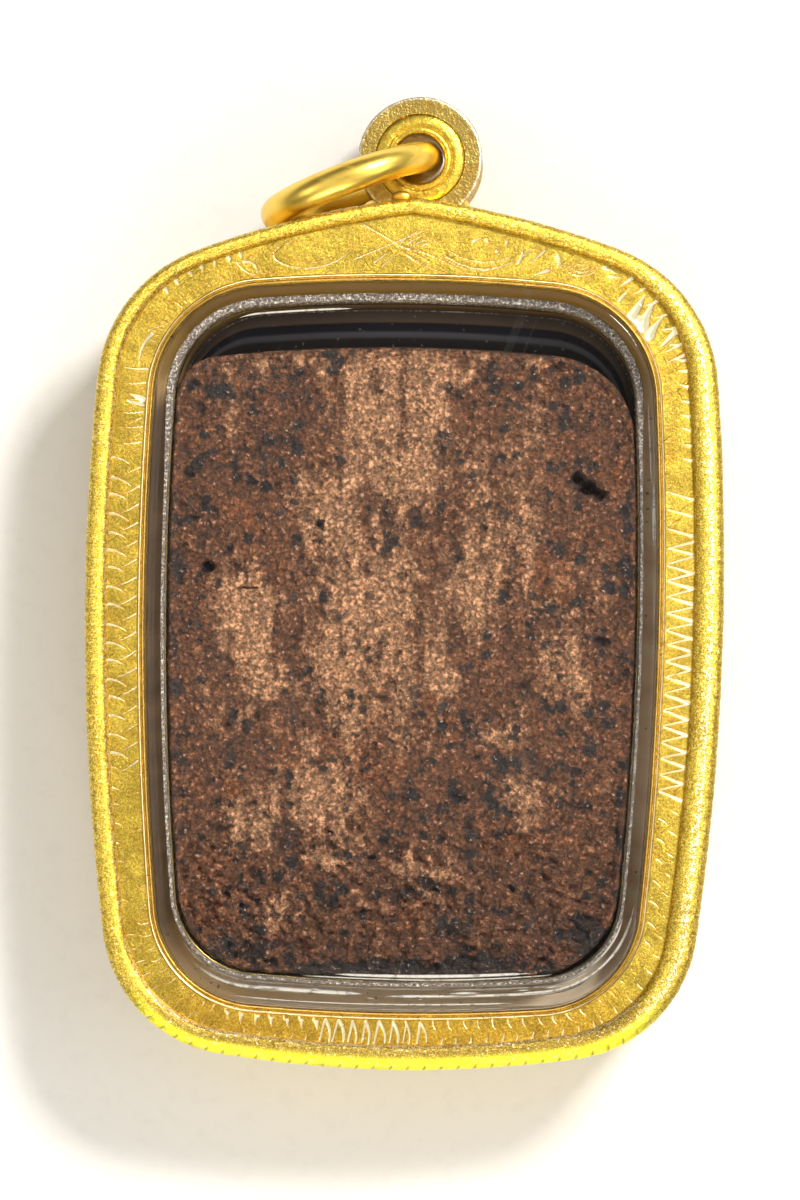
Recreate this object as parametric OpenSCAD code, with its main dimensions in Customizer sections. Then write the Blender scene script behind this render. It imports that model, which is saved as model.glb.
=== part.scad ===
// Amulet pendant: a clay tablet sealed in a clear acrylic case inside an engraved gold frame.
// It lies on its front, with the back showing. X is the width, +Y points to the hanging loop
// and +Z points out of the back. Sizes are in millimetres.

/* [Frame outline] */
// Width of the gold border beside the window, the mean of its two sides
side_border_w = 3.35; // [2.8:0.05:5]
// Width of the gold border between the window and the frame's point
top_border_w = 4.45; // [3.6:0.05:6]
// Width of the gold border below the window
bottom_border_w = 3.05; // [2.8:0.05:5]
// Height of the widest place above the middle line
widest_y = 2.5; // [0:0.1:4]
// Radius of the long bowed sides
side_r = 137; // [90:1:300]
// How far the point stands to the right
apex_x = 0.35; // [-1:0.05:1]
// Slope of the roof beside the point, in degrees
apex_slope = 7.2; // [4:0.1:9]
// Radius of the two roof sides
roof_r = 50; // [40:1:80]
// Radius that rounds the point
nose_r = 1.6; // [1.45:0.05:3]
// Radius of the bottom edge
bottom_r = 63; // [45:1:120]
// Radius of the top corners
top_corner_r = 8.2; // [5:0.1:10]
// Radius of the bottom corners
bottom_corner_r = 7.4; // [4:0.1:10]

/* [Frame section] */
// Thickness of the whole frame, bead to bead
frame_t = 9.6; // [8.5:0.1:14]
// Width of the rolled bead at the edge
bead_w = 1.25; // [1.05:0.05:1.4]
// Height of the rolled bead
bead_h = 1; // [0.9:0.05:1]
// Depth of the engraved plate below the top of the bead
plate_drop = 0.5; // [0.45:0.05:0.55]
// Thickness of the engraved plate
plate_t = 0.4; // [0.3:0.05:0.4]
// Width of the fine lip round the window
lip_w = 0.4; // [0.2:0.02:0.5]
// Height of the lip above the plate
lip_rise = 0.12; // [0.05:0.01:0.3]
// Thickness of the side wall
wall_t = 0.6; // [0.4:0.05:0.9]
// How far the side wall sits in from the bead's edge
wall_inset = 0.12; // [0:0.02:0.2]
// Gap between pieces that touch on the real thing
seat_gap = 0.05; // [0.02:0.01:0.08]

/* [Window] */
// Half the window's width at its widest
window_half_w = 13.65; // [11:0.05:16]
// How far the window stands to the right of the frame's middle
window_x = -0.15; // [-0.4:0.05:0.4]
// Radius of the window's long sides
window_side_r = 180; // [90:1:400]
// Radius of the window's top edge
window_top_r = 90; // [50:1:300]
// Depth of the window's bottom edge below the middle line
window_bottom_y = 20; // [18.5:0.1:22]
// Radius of the window's bottom edge
window_bottom_r = 100; // [50:1:300]
// Radius of the window's top corners
window_top_corner_r = 6; // [3:0.1:8]
// Radius of the window's bottom corners
window_bottom_corner_r = 5.5; // [3:0.1:8]

/* [Acrylic case] */
// Thickness of the clear panel over the tablet
panel_t = 1.3; // [0.8:0.1:1.6]
// How far the clear panel stays below the bead's top
panel_drop = 0.62; // [0.55:0.01:0.8]
// Width of the clear side wall that the window shows
clear_side_w = 0.95; // [0.8:0.05:2]
// Width of the clear wall that the window shows at the top
clear_top_w = 0.95; // [0.6:0.05:1.5]
// Width of the clear wall that the window shows at the bottom
clear_bottom_w = 1.5; // [0.8:0.05:2]

/* [Tablet] */
// Height of the clay tablet
tablet_h = 33.9; // [30:0.1:35]
// Thickness of the clay tablet without its relief
tablet_t = 4.7; // [3.5:0.1:4.8]
// Radius of the tablet's upper left corner
tablet_top_left_r = 2.4; // [2:0.1:5]
// Radius of the tablet's upper right corner
tablet_top_right_r = 4.6; // [2:0.1:6]
// Radius of the tablet's lower left corner
tablet_bottom_left_r = 4.5; // [4:0.1:6]
// Radius of the tablet's lower right corner
tablet_bottom_right_r = 5; // [4:0.1:7]
// Gap between the tablet and the clear walls beside and below it
tablet_gap = 0.1; // [0.05:0.01:0.2]
// Gap between the top of the tablet and the clear wall above it
head_gap = 2.45; // [0.5:0.05:4]
// Gap between the tablet and each clear panel
face_gap = 0.1; // [0.05:0.01:0.2]
// Height of the cast figure on the front of the tablet
relief_h = 0.8; // [0.4:0.05:0.9]

/* [Hanging loop] */
// Height of the loop's middle above the frame's point
loop_rise = 2.4; // [2:0.1:2.8]
// How far the loop's middle stands to the right of the point
loop_shift = 0.1; // [-0.6:0.1:0.6]
// Diameter of the loop's disc
disc_d = 6.7; // [5.8:0.1:6.8]
// Length of the loop's disc along its bore
disc_len = 3.5; // [2:0.1:3.6]
// Diameter of the loop's bore
bore_d = 3.2; // [3:0.1:3.4]
// Thickness of the rounded collar round the bore
collar_t = 0.84; // [0.6:0.02:0.9]
// Depth of the waist between the two edges of the disc
waist_depth = 0.25; // [0.1:0.05:0.4]
// Width of the solder foot under the loop
foot_w = 5; // [4:0.1:5.4]

/* [Jump ring] */
// Outer diameter of the jump ring
ring_d = 10.4; // [10.2:0.1:12]
// Diameter of the ring's wire
wire_d = 1.7; // [1.2:0.05:1.8]
// How far the wire's middle sits past the bore's middle
ring_play = 0.4; // [0.1:0.05:0.5]
// Direction in which the ring has fallen, in degrees
ring_angle = 201; // [190:0.5:201]
// Gap between the ring and the surface below
ring_floor_gap = 0.05; // [0.02:0.01:0.2]

/* [Hidden] */

// Longest straight step along a drawn outline
chord = 1.3;
// Step along the bead's round section, in degrees
bead_step = 30;
// Angle of the bead's round section where it meets the plate
bead_foot = 30;

mid_z = frame_t / 2;
cavity_half_w = window_half_w - clear_side_w;
cavity_bottom = window_bottom_y - clear_bottom_w;
cavity_drop = panel_drop + panel_t;
tablet_half_w = cavity_half_w - tablet_gap;
tablet_bottom = cavity_bottom - tablet_gap;
tablet_top = tablet_h - tablet_bottom;
tablet_back_z = frame_t - cavity_drop - face_gap;
tablet_front_z = tablet_back_z - tablet_t;
cavity_top = tablet_top + head_gap;
window_top_y = cavity_top + clear_top_w;
half_w = window_half_w + side_border_w;
apex_y = window_top_y + top_border_w;
bottom_y = window_bottom_y + bottom_border_w;
loop_x = apex_x + loop_shift;
loop_y = apex_y + loop_rise;
part_top = loop_y + disc_d / 2;
part_mid = (part_top - bottom_y) / 2;
bead_r = bead_h / 2;
plate_back = plate_drop + plate_t;
wall_back = bead_h + seat_gap;
cover_inset = wall_inset + wall_t + seat_gap;

// An outline is a ring of large arcs, each joined to the next by a corner arc tangent to both.
// This is where two circles about a and b cross, on the left of the way from a to b.
function crossing(a, ra, b, rb) =
    let (v = b - a, l = norm(v), along = (l * l + ra * ra - rb * rb) / (2 * l))
    let (up = sqrt(ra * ra - along * along))
    a + along / l * v + up / l * [-v[1], v[0]];

function heading(a, b) = atan2(b[1] - a[1], b[0] - a[0]);

function turned_past(start, angle) = start + ((angle - start) % 360 + 360) % 360;

// Arcs with named columns: centre, radius, first angle and last angle, anticlockwise
CENTRE = 0;
RADIUS = 1;
FIRST = 2;
LAST = 3;
function arcs(sides, corners) =
    let (n = len(sides))
    let (k = [for (i = [0:n - 1])
        let (s = sides[i], t = sides[(i + 1) % n])
        crossing(s[CENTRE], s[RADIUS] - corners[i], t[CENTRE], t[RADIUS] - corners[i])])
    [for (i = [0:n - 1])
        let (s = sides[i], t = sides[(i + 1) % n])
        let (first = heading(s[CENTRE], k[(i + n - 1) % n]))
        let (last = turned_past(first, heading(s[CENTRE], k[i])))
        each [[s[CENTRE], s[RADIUS], first, last],
              [k[i], corners[i], last, turned_past(last, heading(t[CENTRE], k[i]))]]];

function steps(arc) = max(3, ceil(arc[RADIUS] * (arc[LAST] - arc[FIRST]) * PI / 180 / chord));

// Points along an arc, in n steps, the given distance inside it
function along(arc, n, inset) =
    [for (j = [0:n - 1])
        let (t = arc[FIRST] + (arc[LAST] - arc[FIRST]) * j / n)
        arc[CENTRE] + (arc[RADIUS] - inset) * [cos(t), sin(t)]];

function points(ring, inset = 0) = [for (arc = ring) each along(arc, steps(arc), inset)];

// The stretch of an arc between two shares of it
function stretch(arc, a, b) =
    let (turn = arc[LAST] - arc[FIRST])
    [arc[CENTRE], arc[RADIUS], arc[FIRST] + a * turn, arc[FIRST] + b * turn];

// The right side, top, left side and bottom of a bowed oblong about the window's middle
function oblong(half, side, top, top_bow, bottom, bottom_bow) =
    [[[window_x + half - side, widest_y], side],
     [[window_x, top - top_bow], top_bow],
     [[window_x + side - half, widest_y], side],
     [[window_x, bottom_bow - bottom], bottom_bow]];

roof_out = roof_r * sin(apex_slope);
roof_down = apex_y - roof_r * cos(apex_slope);
frame_arcs = arcs(
    [[[half_w - side_r, widest_y], side_r],
     [[apex_x - roof_out, roof_down], roof_r],
     [[apex_x + roof_out, roof_down], roof_r],
     [[side_r - half_w, widest_y], side_r],
     [[0, bottom_r - bottom_y], bottom_r]],
    [top_corner_r, nose_r, top_corner_r, bottom_corner_r, bottom_corner_r]);

window_corners =
    [window_top_corner_r, window_top_corner_r, window_bottom_corner_r, window_bottom_corner_r];
window_arcs = arcs(
    oblong(window_half_w, window_side_r, window_top_y, window_top_r, window_bottom_y, window_bottom_r),
    window_corners);

cavity_arcs = arcs(
    oblong(cavity_half_w, window_side_r, cavity_top, window_top_r, cavity_bottom, window_bottom_r),
    [for (r = window_corners) r - clear_side_w]);

tablet_arcs = arcs(
    oblong(tablet_half_w, window_side_r, tablet_top, window_top_r, tablet_bottom, window_bottom_r),
    [tablet_top_right_r, tablet_top_left_r, tablet_bottom_left_r, tablet_bottom_right_r]);

// The window's arcs again, with its top cut in three, so that each faces one arc of the frame
nose_share = 0.03;
facing_arcs =
    [for (i = [0:7]) each i != 2 ? [window_arcs[i]] :
        [stretch(window_arcs[i], 0, 0.5 - nose_share),
         stretch(window_arcs[i], 0.5 - nose_share, 0.5 + nose_share),
         stretch(window_arcs[i], 0.5 + nose_share, 1)]];

// Section of a bezel, from the bead's foot over its top and across the plate to the window.
// Each row is an outline, the inset from it and the depth below the bead's top.
ON_FRAME = 0;
ON_WINDOW = 1;
inner_x = bead_w - bead_r;
under_x = inner_x + sqrt(bead_r * bead_r - pow(plate_back - bead_r, 2));
bezel_section =
    [for (a = [-90:bead_step:90]) [ON_FRAME, bead_r - bead_r * cos(a), bead_r - bead_r * sin(a)],
     for (a = [90:-bead_step:bead_foot]) [ON_FRAME, inner_x + bead_r * cos(a), bead_r - bead_r * sin(a)],
     [ON_FRAME, inner_x + sqrt(bead_r * bead_r - pow(plate_drop - bead_r, 2)), plate_drop],
     [ON_WINDOW, -lip_w, plate_drop],
     [ON_WINDOW, -0.75 * lip_w, plate_drop - 0.8 * lip_rise],
     [ON_WINDOW, -0.5 * lip_w, plate_drop - lip_rise],
     [ON_WINDOW, -0.25 * lip_w, plate_drop - 0.8 * lip_rise],
     [ON_WINDOW, 0, plate_drop],
     [ON_WINDOW, 0, plate_back],
     [ON_FRAME, under_x, plate_back],
     [ON_FRAME, inner_x, bead_h]];

// A closed ring through stations, each of which holds the same number of section points
module ring_skin(rows) {
    n = len(rows);
    m = len(rows[0]);
    polyhedron(
        points = [for (row = rows) each row],
        faces = [for (i = [0:n - 1], j = [0:m - 1])
            let (p = (i + 1) % n, q = (j + 1) % m)
            each [[i * m + j, p * m + j, p * m + q], [i * m + j, p * m + q, i * m + q]]],
        convexity = 6);
}

// Places what is drawn about the middle line so that the part's box is centred on the origin
module placed() {
    translate([0, -part_mid, 0]) children();
}

module plate(ring, inset, bottom, top) {
    translate([0, 0, bottom]) linear_extrude(top - bottom) polygon(points(ring, inset));
}

// A bezel as seen from outside: its plate and bead hang below height 0
module bezel() {
    lanes = [for (row = bezel_section)
        [for (i = [0:len(frame_arcs) - 1])
            let (arc = row[0] == ON_FRAME ? frame_arcs[i] : facing_arcs[i])
            for (p = along(arc, steps(frame_arcs[i]), row[1])) [p[0], p[1], -row[2]]]];
    ring_skin([for (i = [0:len(lanes[0]) - 1]) [for (lane = lanes) lane[i]]]);
}

// Half of the clear case as seen from outside: a panel that fills the window, a flange under
// the bezel and a wall that goes down to the middle
module cover() {
    difference() {
        union() {
            plate(frame_arcs, cover_inset, seat_gap / 2 - mid_z, -wall_back);
            plate(window_arcs, seat_gap, -wall_back - panel_t / 2, -panel_drop);
        }
        plate(cavity_arcs, 0, -mid_z, -cavity_drop);
    }
}

module loop_section() {
    half_len = disc_len / 2;
    polygon([
        [bore_d / 2, -half_len], [disc_d / 2, -half_len], [disc_d / 2, -half_len / 2],
        [disc_d / 2 - waist_depth, 0], [disc_d / 2, half_len / 2], [disc_d / 2, half_len],
        [bore_d / 2, half_len]]);
    for (side = [-1, 1])
        translate([bore_d / 2 + collar_t / 2, side * half_len]) circle(d = collar_t, $fn = 32);
}

// The disc with its collars, and the solder foot that spreads onto the roof
module hanging_loop() {
    foot_len = 0.75 * disc_len;
    translate([loop_x, loop_y, mid_z]) {
        rotate_extrude($fn = 96) loop_section();
        difference() {
            translate([-foot_w / 2, -loop_rise - wall_t, -foot_len / 2])
                cube([foot_w, loop_rise, foot_len]);
            cylinder(h = foot_len + 1, d = bore_d + collar_t, center = true, $fn = 96);
        }
    }
}

module case_band() {
    color("goldenrod") placed() {
        difference() {
            plate(frame_arcs, wall_inset, wall_back, frame_t - wall_back);
            plate(frame_arcs, wall_inset + wall_t, 0, frame_t);
        }
        difference() {
            hanging_loop();
            plate(frame_arcs, wall_inset + wall_t / 2, 0, frame_t);
        }
    }
}

module back_bezel() {
    color("gold") placed() translate([0, 0, frame_t]) bezel();
}

module front_bezel() {
    color("gold") placed() mirror([0, 0, 1]) bezel();
}

module back_cover() {
    color("gainsboro", 0.4) placed() translate([0, 0, frame_t]) cover();
}

module front_cover() {
    color("gainsboro", 0.4) placed() mirror([0, 0, 1]) cover();
}

// A calm seated figure in a round-headed niche, in shares of the tablet's half width and height
module figure() {
    // Each row is a form: x, y, half its width and half its height, and its share of the relief
    forms = [
        [0, 0.27, 0.13, 0.078, 1],
        [0, 0.36, 0.07, 0.06, 0.9],
        [0, 0.08, 0.24, 0.17, 0.9],
        [-0.27, 0.02, 0.09, 0.18, 0.8],
        [0.27, 0.02, 0.09, 0.18, 0.8],
        [0, -0.14, 0.3, 0.05, 0.95],
        [-0.26, -0.22, 0.3, 0.07, 1],
        [0.26, -0.22, 0.3, 0.07, 1],
        [0, -0.36, 0.66, 0.05, 0.7]];
    for (f = forms)
        translate([window_x + f[0] * tablet_half_w, f[1] * tablet_h])
            scale([f[2] * tablet_half_w, f[3] * tablet_h, f[4] * relief_h]) sphere(r = 1, $fn = 32);
}

module tablet() {
    color("sienna") placed() {
        plate(tablet_arcs, 0, tablet_front_z, tablet_back_z);
        intersection() {
            translate([0, 0, tablet_front_z]) figure();
            plate(tablet_arcs, tablet_gap, tablet_front_z - relief_h, tablet_front_z + relief_h);
        }
    }
}

module jump_ring() {
    mean_r = (ring_d - wire_d) / 2;
    color("gold") placed()
        translate([loop_x, loop_y, ring_d / 2 + ring_floor_gap])
            rotate(ring_angle) translate([mean_r - ring_play, 0, 0]) rotate([90, 0, 0])
                rotate_extrude($fn = 96) translate([mean_r, 0]) circle(d = wire_d, $fn = 48);
}

case_band();
back_bezel();
front_bezel();
back_cover();
front_cover();
tablet();
jump_ring();
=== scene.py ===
import cmath
import math
from typing import NamedTuple

import bmesh
import bpy
import numpy as np
from bpy.props import FloatProperty, FloatVectorProperty, IntProperty, PointerProperty
from mathutils import Matrix, Vector, noise


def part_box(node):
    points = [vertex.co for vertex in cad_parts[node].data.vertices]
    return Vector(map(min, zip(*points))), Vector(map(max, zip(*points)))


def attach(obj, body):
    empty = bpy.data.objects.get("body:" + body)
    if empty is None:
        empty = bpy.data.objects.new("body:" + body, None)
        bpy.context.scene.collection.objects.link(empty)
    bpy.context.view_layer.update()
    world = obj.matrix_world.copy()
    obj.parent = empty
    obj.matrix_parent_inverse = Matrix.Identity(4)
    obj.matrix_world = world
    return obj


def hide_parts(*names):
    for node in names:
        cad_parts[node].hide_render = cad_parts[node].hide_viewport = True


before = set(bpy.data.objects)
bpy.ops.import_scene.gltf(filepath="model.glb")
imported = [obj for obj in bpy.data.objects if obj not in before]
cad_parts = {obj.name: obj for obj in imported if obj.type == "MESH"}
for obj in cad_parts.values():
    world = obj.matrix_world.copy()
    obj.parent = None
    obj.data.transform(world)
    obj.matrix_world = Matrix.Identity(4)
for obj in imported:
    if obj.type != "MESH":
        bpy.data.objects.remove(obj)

bl_info = {
    "name": "Amulet pendant in a gold frame",
    "version": (1, 0, 0),
    "blender": (4, 5, 0),
    "location": "3D View > Sidebar > Amulet",
    "description": "Dresses a clay tablet in a clear case and an engraved gold frame",
    "category": "Object",
}

MM = 0.001
FULL_TURN = 2 * math.pi
CASE = "case"
RING = "ring"
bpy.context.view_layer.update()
FRAME_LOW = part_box("back_bezel")[0].y
BACK_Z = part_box("back_bezel")[1].z
MIDDLE_Z = BACK_Z / 2

# How far apart two outlines are taken to find the way between them
HAIR = 0.1 * MM
# Half the share of an oblong's top that faces the frame's point
NOSE_SHARE = 0.03


def length(name, description, millimetres):
    """A length that a user may change, with its default in millimetres."""
    return FloatProperty(name=name, description=description, default=millimetres * MM, unit="LENGTH",
                         precision=5)


def turn(name, description, degrees):
    """An angle that a user may change, with its default in degrees."""
    return FloatProperty(name=name, description=description, default=math.radians(degrees),
                         unit="ROTATION")


def share(name, description, value):
    """A share from 0 to 1 that a user may change."""
    return FloatProperty(name=name, description=description, default=value, min=0, max=1,
                         subtype="FACTOR")


def colour(name, description, value):
    """A colour that a user may change."""
    return FloatVectorProperty(name=name, description=description, default=value, min=0, max=1,
                               subtype="COLOR")


class AmuletOutline(bpy.types.PropertyGroup):
    """The gold frame's edge, measured from its middle line."""
    half_width: length("Half width", "Half the frame's width at its widest", 17)
    widest: length("Widest place", "Height of the widest place above the middle line", 2.5)
    side_radius: length("Side radius", "Radius of the long bowed sides", 137)
    apex: length("Apex height", "Height of the pointed top above the middle line", 23.35)
    apex_shift: length("Apex shift", "How far the point stands to the right", 0.35)
    apex_slope: turn("Apex slope", "Slope of the roof beside the point", 7.2)
    roof_radius: length("Roof radius", "Radius of the two roof sides", 50)
    nose_radius: length("Nose radius", "Radius that rounds the point", 1.6)
    bottom: length("Bottom depth", "Depth of the bottom edge below the middle line", 23.05)
    bottom_radius: length("Bottom radius", "Radius of the bottom edge", 63)
    top_corner: length("Top corner", "Radius of the top corners", 8.2)
    bottom_corner: length("Bottom corner", "Radius of the bottom corners", 7.4)


class AmuletWindow(bpy.types.PropertyGroup):
    """The window in the frame, measured from the middle line."""
    half_width: length("Half width", "Half the window's width at its widest", 13.65)
    shift: length("Shift", "How far the window stands to the right of the frame's middle", -0.15)
    side_radius: length("Side radius", "Radius of the window's long sides", 180)
    top: length("Top", "Height of the window's top edge above the middle line", 18.9)
    top_radius: length("Top radius", "Radius of the window's top edge", 90)
    bottom: length("Bottom", "Depth of the window's bottom edge below the middle line", 20)
    bottom_radius: length("Bottom radius", "Radius of the window's bottom edge", 100)
    top_corner: length("Top corner", "Radius of the window's top corners", 6)
    bottom_corner: length("Bottom corner", "Radius of the window's bottom corners", 5.5)


class AmuletBorder(bpy.types.PropertyGroup):
    """The rolled bead, the engraved plate and the lip round the window."""
    bead_width: length("Bead width", "Width of the rolled bead", 1.25)
    bead_right: length("Fuller right", "How much wider the bead is on the right than the mean", 0.21)
    bead_low: length("Fuller bottom", "How much wider the bead is along the bottom than the mean", 0.24)
    bead_sides: length("Fuller sides", "How much wider the bead is at the sides than at the ends", 0.14)
    bead_height: length("Bead height", "Height of the rolled bead", 1)
    bead_tuck: length("Tuck", "How far the plate's edge reaches under the bead", 0.2)
    plate_drop: length("Plate drop", "Depth of the plate below the top of the bead", 0.5)
    plate_thickness: length("Plate thickness", "Thickness of the plate", 0.4)
    lip_width: length("Lip width", "Width of the fine double lip round the window", 0.4)
    lip_rise: length("Lip rise", "Height of the lip above the plate", 0.12)
    cut_depth: length("Cut depth", "Depth of the widest engraved cut", 0.07)
    dent_depth: length("Dent depth", "Depth of the soft dents in the plate", 0.018)
    tick_pitch: length("Tick pitch", "Distance between the slanting ticks on the bead's flank", 0.9)
    tick_depth: length("Tick depth", "Depth of those ticks", 0.05)


class AmuletCase(bpy.types.PropertyGroup):
    """The two halves of the clear case."""
    panel_drop: length("Panel drop", "Depth of the clear panel below the top of the bead", 0.62)
    panel_thickness: length("Panel thickness", "Thickness of the clear panel", 1.3)
    side_width: length("Side width", "Width of the clear wall seen at the sides", 0.95)
    top_width: length("Top width", "Width of the clear wall seen at the top", 0.95)
    bottom_width: length("Bottom width", "Width of the clear wall seen at the bottom", 1.5)
    outer_inset: length("Outer inset", "How far the clear flange sits in from the frame's edge", 0.77)
    flange_drop: length("Flange drop", "Depth of the flange below the top of the bead", 1.05)
    gap: length("Gap", "Gap between pieces that touch on the real thing", 0.05)
    fillet: length("Fillet", "Radius of the polished edges of the clear case", 0.12)
    seam_width: length("Seam width", "Width of the frosted seam at the sides", 0.18)
    seam_top_width: length("Upper seam width", "Width of the frosted seam over the tablet", 0.46)
    seam_reach: length("Seam reach", "How far the upper seam reaches over the hollow", 0.06)
    seam_height: length("Seam height", "Height of the frosted seam", 0.3)


class AmuletTablet(bpy.types.PropertyGroup):
    """The clay tablet."""
    height: length("Height", "Height of the tablet", 33.9)
    thickness: length("Thickness", "Thickness of the tablet without its relief", 4.7)
    gap: length("Gap", "Gap between the tablet and the clear walls", 0.1)
    top_left: length("Upper left corner", "Radius of the upper left corner", 2.4)
    top_right: length("Upper right corner", "Radius of the upper right corner", 4.6)
    bottom_left: length("Lower left corner", "Radius of the lower left corner", 4.5)
    bottom_right: length("Lower right corner", "Radius of the lower right corner", 5)
    worn_edge: length("Worn edge", "Radius of the worn edges", 0.5)
    relief: length("Relief", "Height of the figure on the front", 0.8)
    fine_cells: IntProperty(name="Fine cells", description="Cells across the back of the tablet",
                            default=236)


class AmuletLoop(bpy.types.PropertyGroup):
    """The hanging loop and its jump ring."""
    disc_radius: length("Disc radius", "Radius of the loop's disc", 3.35)
    disc_length: length("Disc length", "Length of the disc along its bore", 3.5)
    bore_radius: length("Bore radius", "Radius of the bore", 1.33)
    collar: length("Collar", "Width of the rounded collar round the bore", 1.1)
    waist: length("Waist", "Depth of the waist between the two edges of the disc", 0.25)
    rise: length("Rise", "Height of the loop's middle above the frame's point", 2.4)
    shift: length("Shift", "How far the loop's middle stands to the right of the point", 0.1)
    ring_radius: length("Ring radius", "Radius of the middle of the jump ring's wire", 4.35)
    wire_radius: length("Wire radius", "Radius of the jump ring's wire", 0.85)
    ring_play: length("Ring play", "How far the wire's middle sits past the bore's middle", 0.4)
    ring_turn: turn("Ring direction", "Direction in which the ring has fallen", 201)
    wall_thickness: length("Wall thickness", "Thickness of the side wall", 0.6)
    wall_inset: length("Wall inset", "How far the side wall sits in from the bead's edge", 0.12)


class AmuletFinish(bpy.types.PropertyGroup):
    """The colours and the polish of the pieces."""
    gold: colour("Gold", "Clean gold of the plate", (0.53, 0.37, 0.052))
    wire_gold: colour("Wire gold", "The gold of the ring, the wall and the solder", (0.93, 0.66, 0.12))
    olive_gold: colour("Olive gold", "The brown of the bead's shaded flank", (0.3, 0.2, 0.035))
    # Painted light: the bright gold that the bead's lower flank is painted with
    sunny_gold: colour("Bright gold", "The bright gold of the bead's lower flank", (1.0, 0.93, 0.055))
    bead_gold: colour("Bead gold", "The greener gold of the frosted bead", (0.7, 0.49, 0.065))
    # Also the colour of the painted shade on the plate, towards its bottom and along the edges of the
    # cuts
    deep_gold: colour("Deep gold", "Gold in its hollows and stains", (0.5, 0.24, 0.02))
    # A painted highlight: the colour of the bead's crest, foot and glints and of the loop's rim
    painted_highlight_gold: colour("Pale gold", "Freshly cut gold", (1.0, 0.95, 0.8))
    # Partly a painted highlight: the cuts' colour stands for fresh-cut gold and the light it catches
    cut_highlight_gold: colour("Cut gold", "The bright gold of the engraved cuts", (1.0, 0.9, 0.56))
    loop_gold: colour("Loop gold", "The duller gold of the loop", (0.46, 0.32, 0.08))
    frost: share("Frost", "Roughness of the frosted bead", 0.3)
    satin: share("Satin", "Roughness of the satin plate", 0.36)
    polish: share("Polish", "Roughness of the polished gold", 0.27)
    clay: colour("Clay", "The clay's main brown", (0.23, 0.092, 0.042))
    # Also the colour of the painted light on the clay's high places
    clay_tan: colour("Tan", "Rubbed, pale clay", (0.76, 0.395, 0.21))
    clay_red: colour("Red", "Reddish stains", (0.33, 0.11, 0.034))
    # Also the colour of the painted shade in the clay's deep places and along its bottom edge
    clay_dark: colour("Dark", "Dark spots and hollows", (0.018, 0.014, 0.016))
    clay_glint: colour("Glint", "Sparkling grains in the clay", (0.95, 0.8, 0.7))
    # Colours of the sheet in the clear wall, all painted light: grey where the wall is seen through, a
    # painted reflection of the gold beside the lip and pale painted light along the bottom
    painted_wall_light: colour("Haze", "The grey haze in the clear wall", (0.36, 0.262, 0.185))
    painted_gold_reflection: colour("Brown haze", "The golden haze beside the lip", (0.5, 0.3, 0.05))
    painted_bottom_light: colour("Silver haze", "The pale haze along the bottom", (1.0, 0.83, 0.64))
    seam: colour("Seam", "The frosted seam", (0.17, 0.125, 0.092))
    seam_glint: colour("Seam glint", "Sparkling crumbs in the seam", (0.9, 0.85, 0.78))
    seam_pit: colour("Seam pit", "Dark pits in the seam", (0.05, 0.045, 0.045))
    clear: colour("Clear", "The clear acrylic", (0.96, 0.955, 0.94))
    clear_light: colour("Clear light", "Light that has come through the acrylic", (0.94, 0.935, 0.92))
    streak: colour("Streak", "Streaks in the film", (0.5, 0.48, 0.45))
    speck: colour("Speck", "Specks of dirt in the film", (0.3, 0.28, 0.26))
    glue: colour("Glue", "Dried glue", (0.75, 0.72, 0.66))
    glue_pit: colour("Glue pit", "Darker pits in the glue", (0.35, 0.32, 0.28))
    floor: colour("Floor", "The floor", (0.74, 0.73, 0.71))


class AmuletStage(bpy.types.PropertyGroup):
    """The camera and the lights."""
    target_x: length("Target x", "Where the camera looks, across", -0.21)
    target_y: length("Target y", "Where the camera looks, along", -1.15)
    view_height: length("View height", "Height of the picture at the plate", 63.8)
    tilt_right: turn("Tilt right", "How far the camera stands to the right", 1.5)
    tilt_down: turn("Tilt down", "How far the camera stands towards the bottom edge", 2)
    roll: turn("Roll", "How far the pendant lies turned to the right in the picture", 0.85)
    lens: FloatProperty(name="Lens", description="Focal length in millimetres", default=150)


def sizes():
    """The property groups of this scene, by name."""
    scene = bpy.context.scene
    return {group: getattr(scene, "amulet_" + group) for group in GROUPS}


# Outlines: a point is a complex number, x + iy, and an outline is a ring of arcs
class Arc(NamedTuple):
    """A circle's arc, anticlockwise from its first direction to its last."""
    centre: complex
    radius: float
    first: float = 0.0
    last: float = 0.0

    def stretch(self, begin, end):
        """The part of the arc between two shares of it."""
        sweep = self.last - self.first
        return self._replace(first=self.first + begin * sweep, last=self.first + end * sweep)

    def run(self):
        """The arc's length."""
        return self.radius * (self.last - self.first)


def crossing(a, a_radius, b, b_radius):
    """Where two circles cross, on the left of the way from a to b."""
    way = b - a
    span = abs(way)
    along = (span**2 + a_radius**2 - b_radius**2) / (2 * span)
    return a + way / span * complex(along, math.sqrt(a_radius**2 - along**2))


def turned_past(start, angle):
    """The same direction as angle, written as the next turn after start."""
    return start + (angle - start) % FULL_TURN


def outline(sides, corners):
    """Joins each big arc to the next by a corner arc tangent to both, anticlockwise."""
    following = sides[1:] + sides[:1]
    knots = [crossing(a.centre, a.radius - r, b.centre, b.radius - r)
             for a, b, r in zip(sides, following, corners)]
    ring = []
    for i, (a, b, r) in enumerate(zip(sides, following, corners)):
        first = cmath.phase(knots[i - 1] - a.centre)
        last = turned_past(first, cmath.phase(knots[i] - a.centre))
        ring.append(Arc(a.centre, a.radius, first, last))
        ring.append(Arc(knots[i], r, last, turned_past(last, cmath.phase(knots[i] - b.centre))))
    return ring


def middle_y():
    """Where the middle line lies, found from the frame's lowest edge."""
    return FRAME_LOW + sizes()["outline"].bottom


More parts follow.
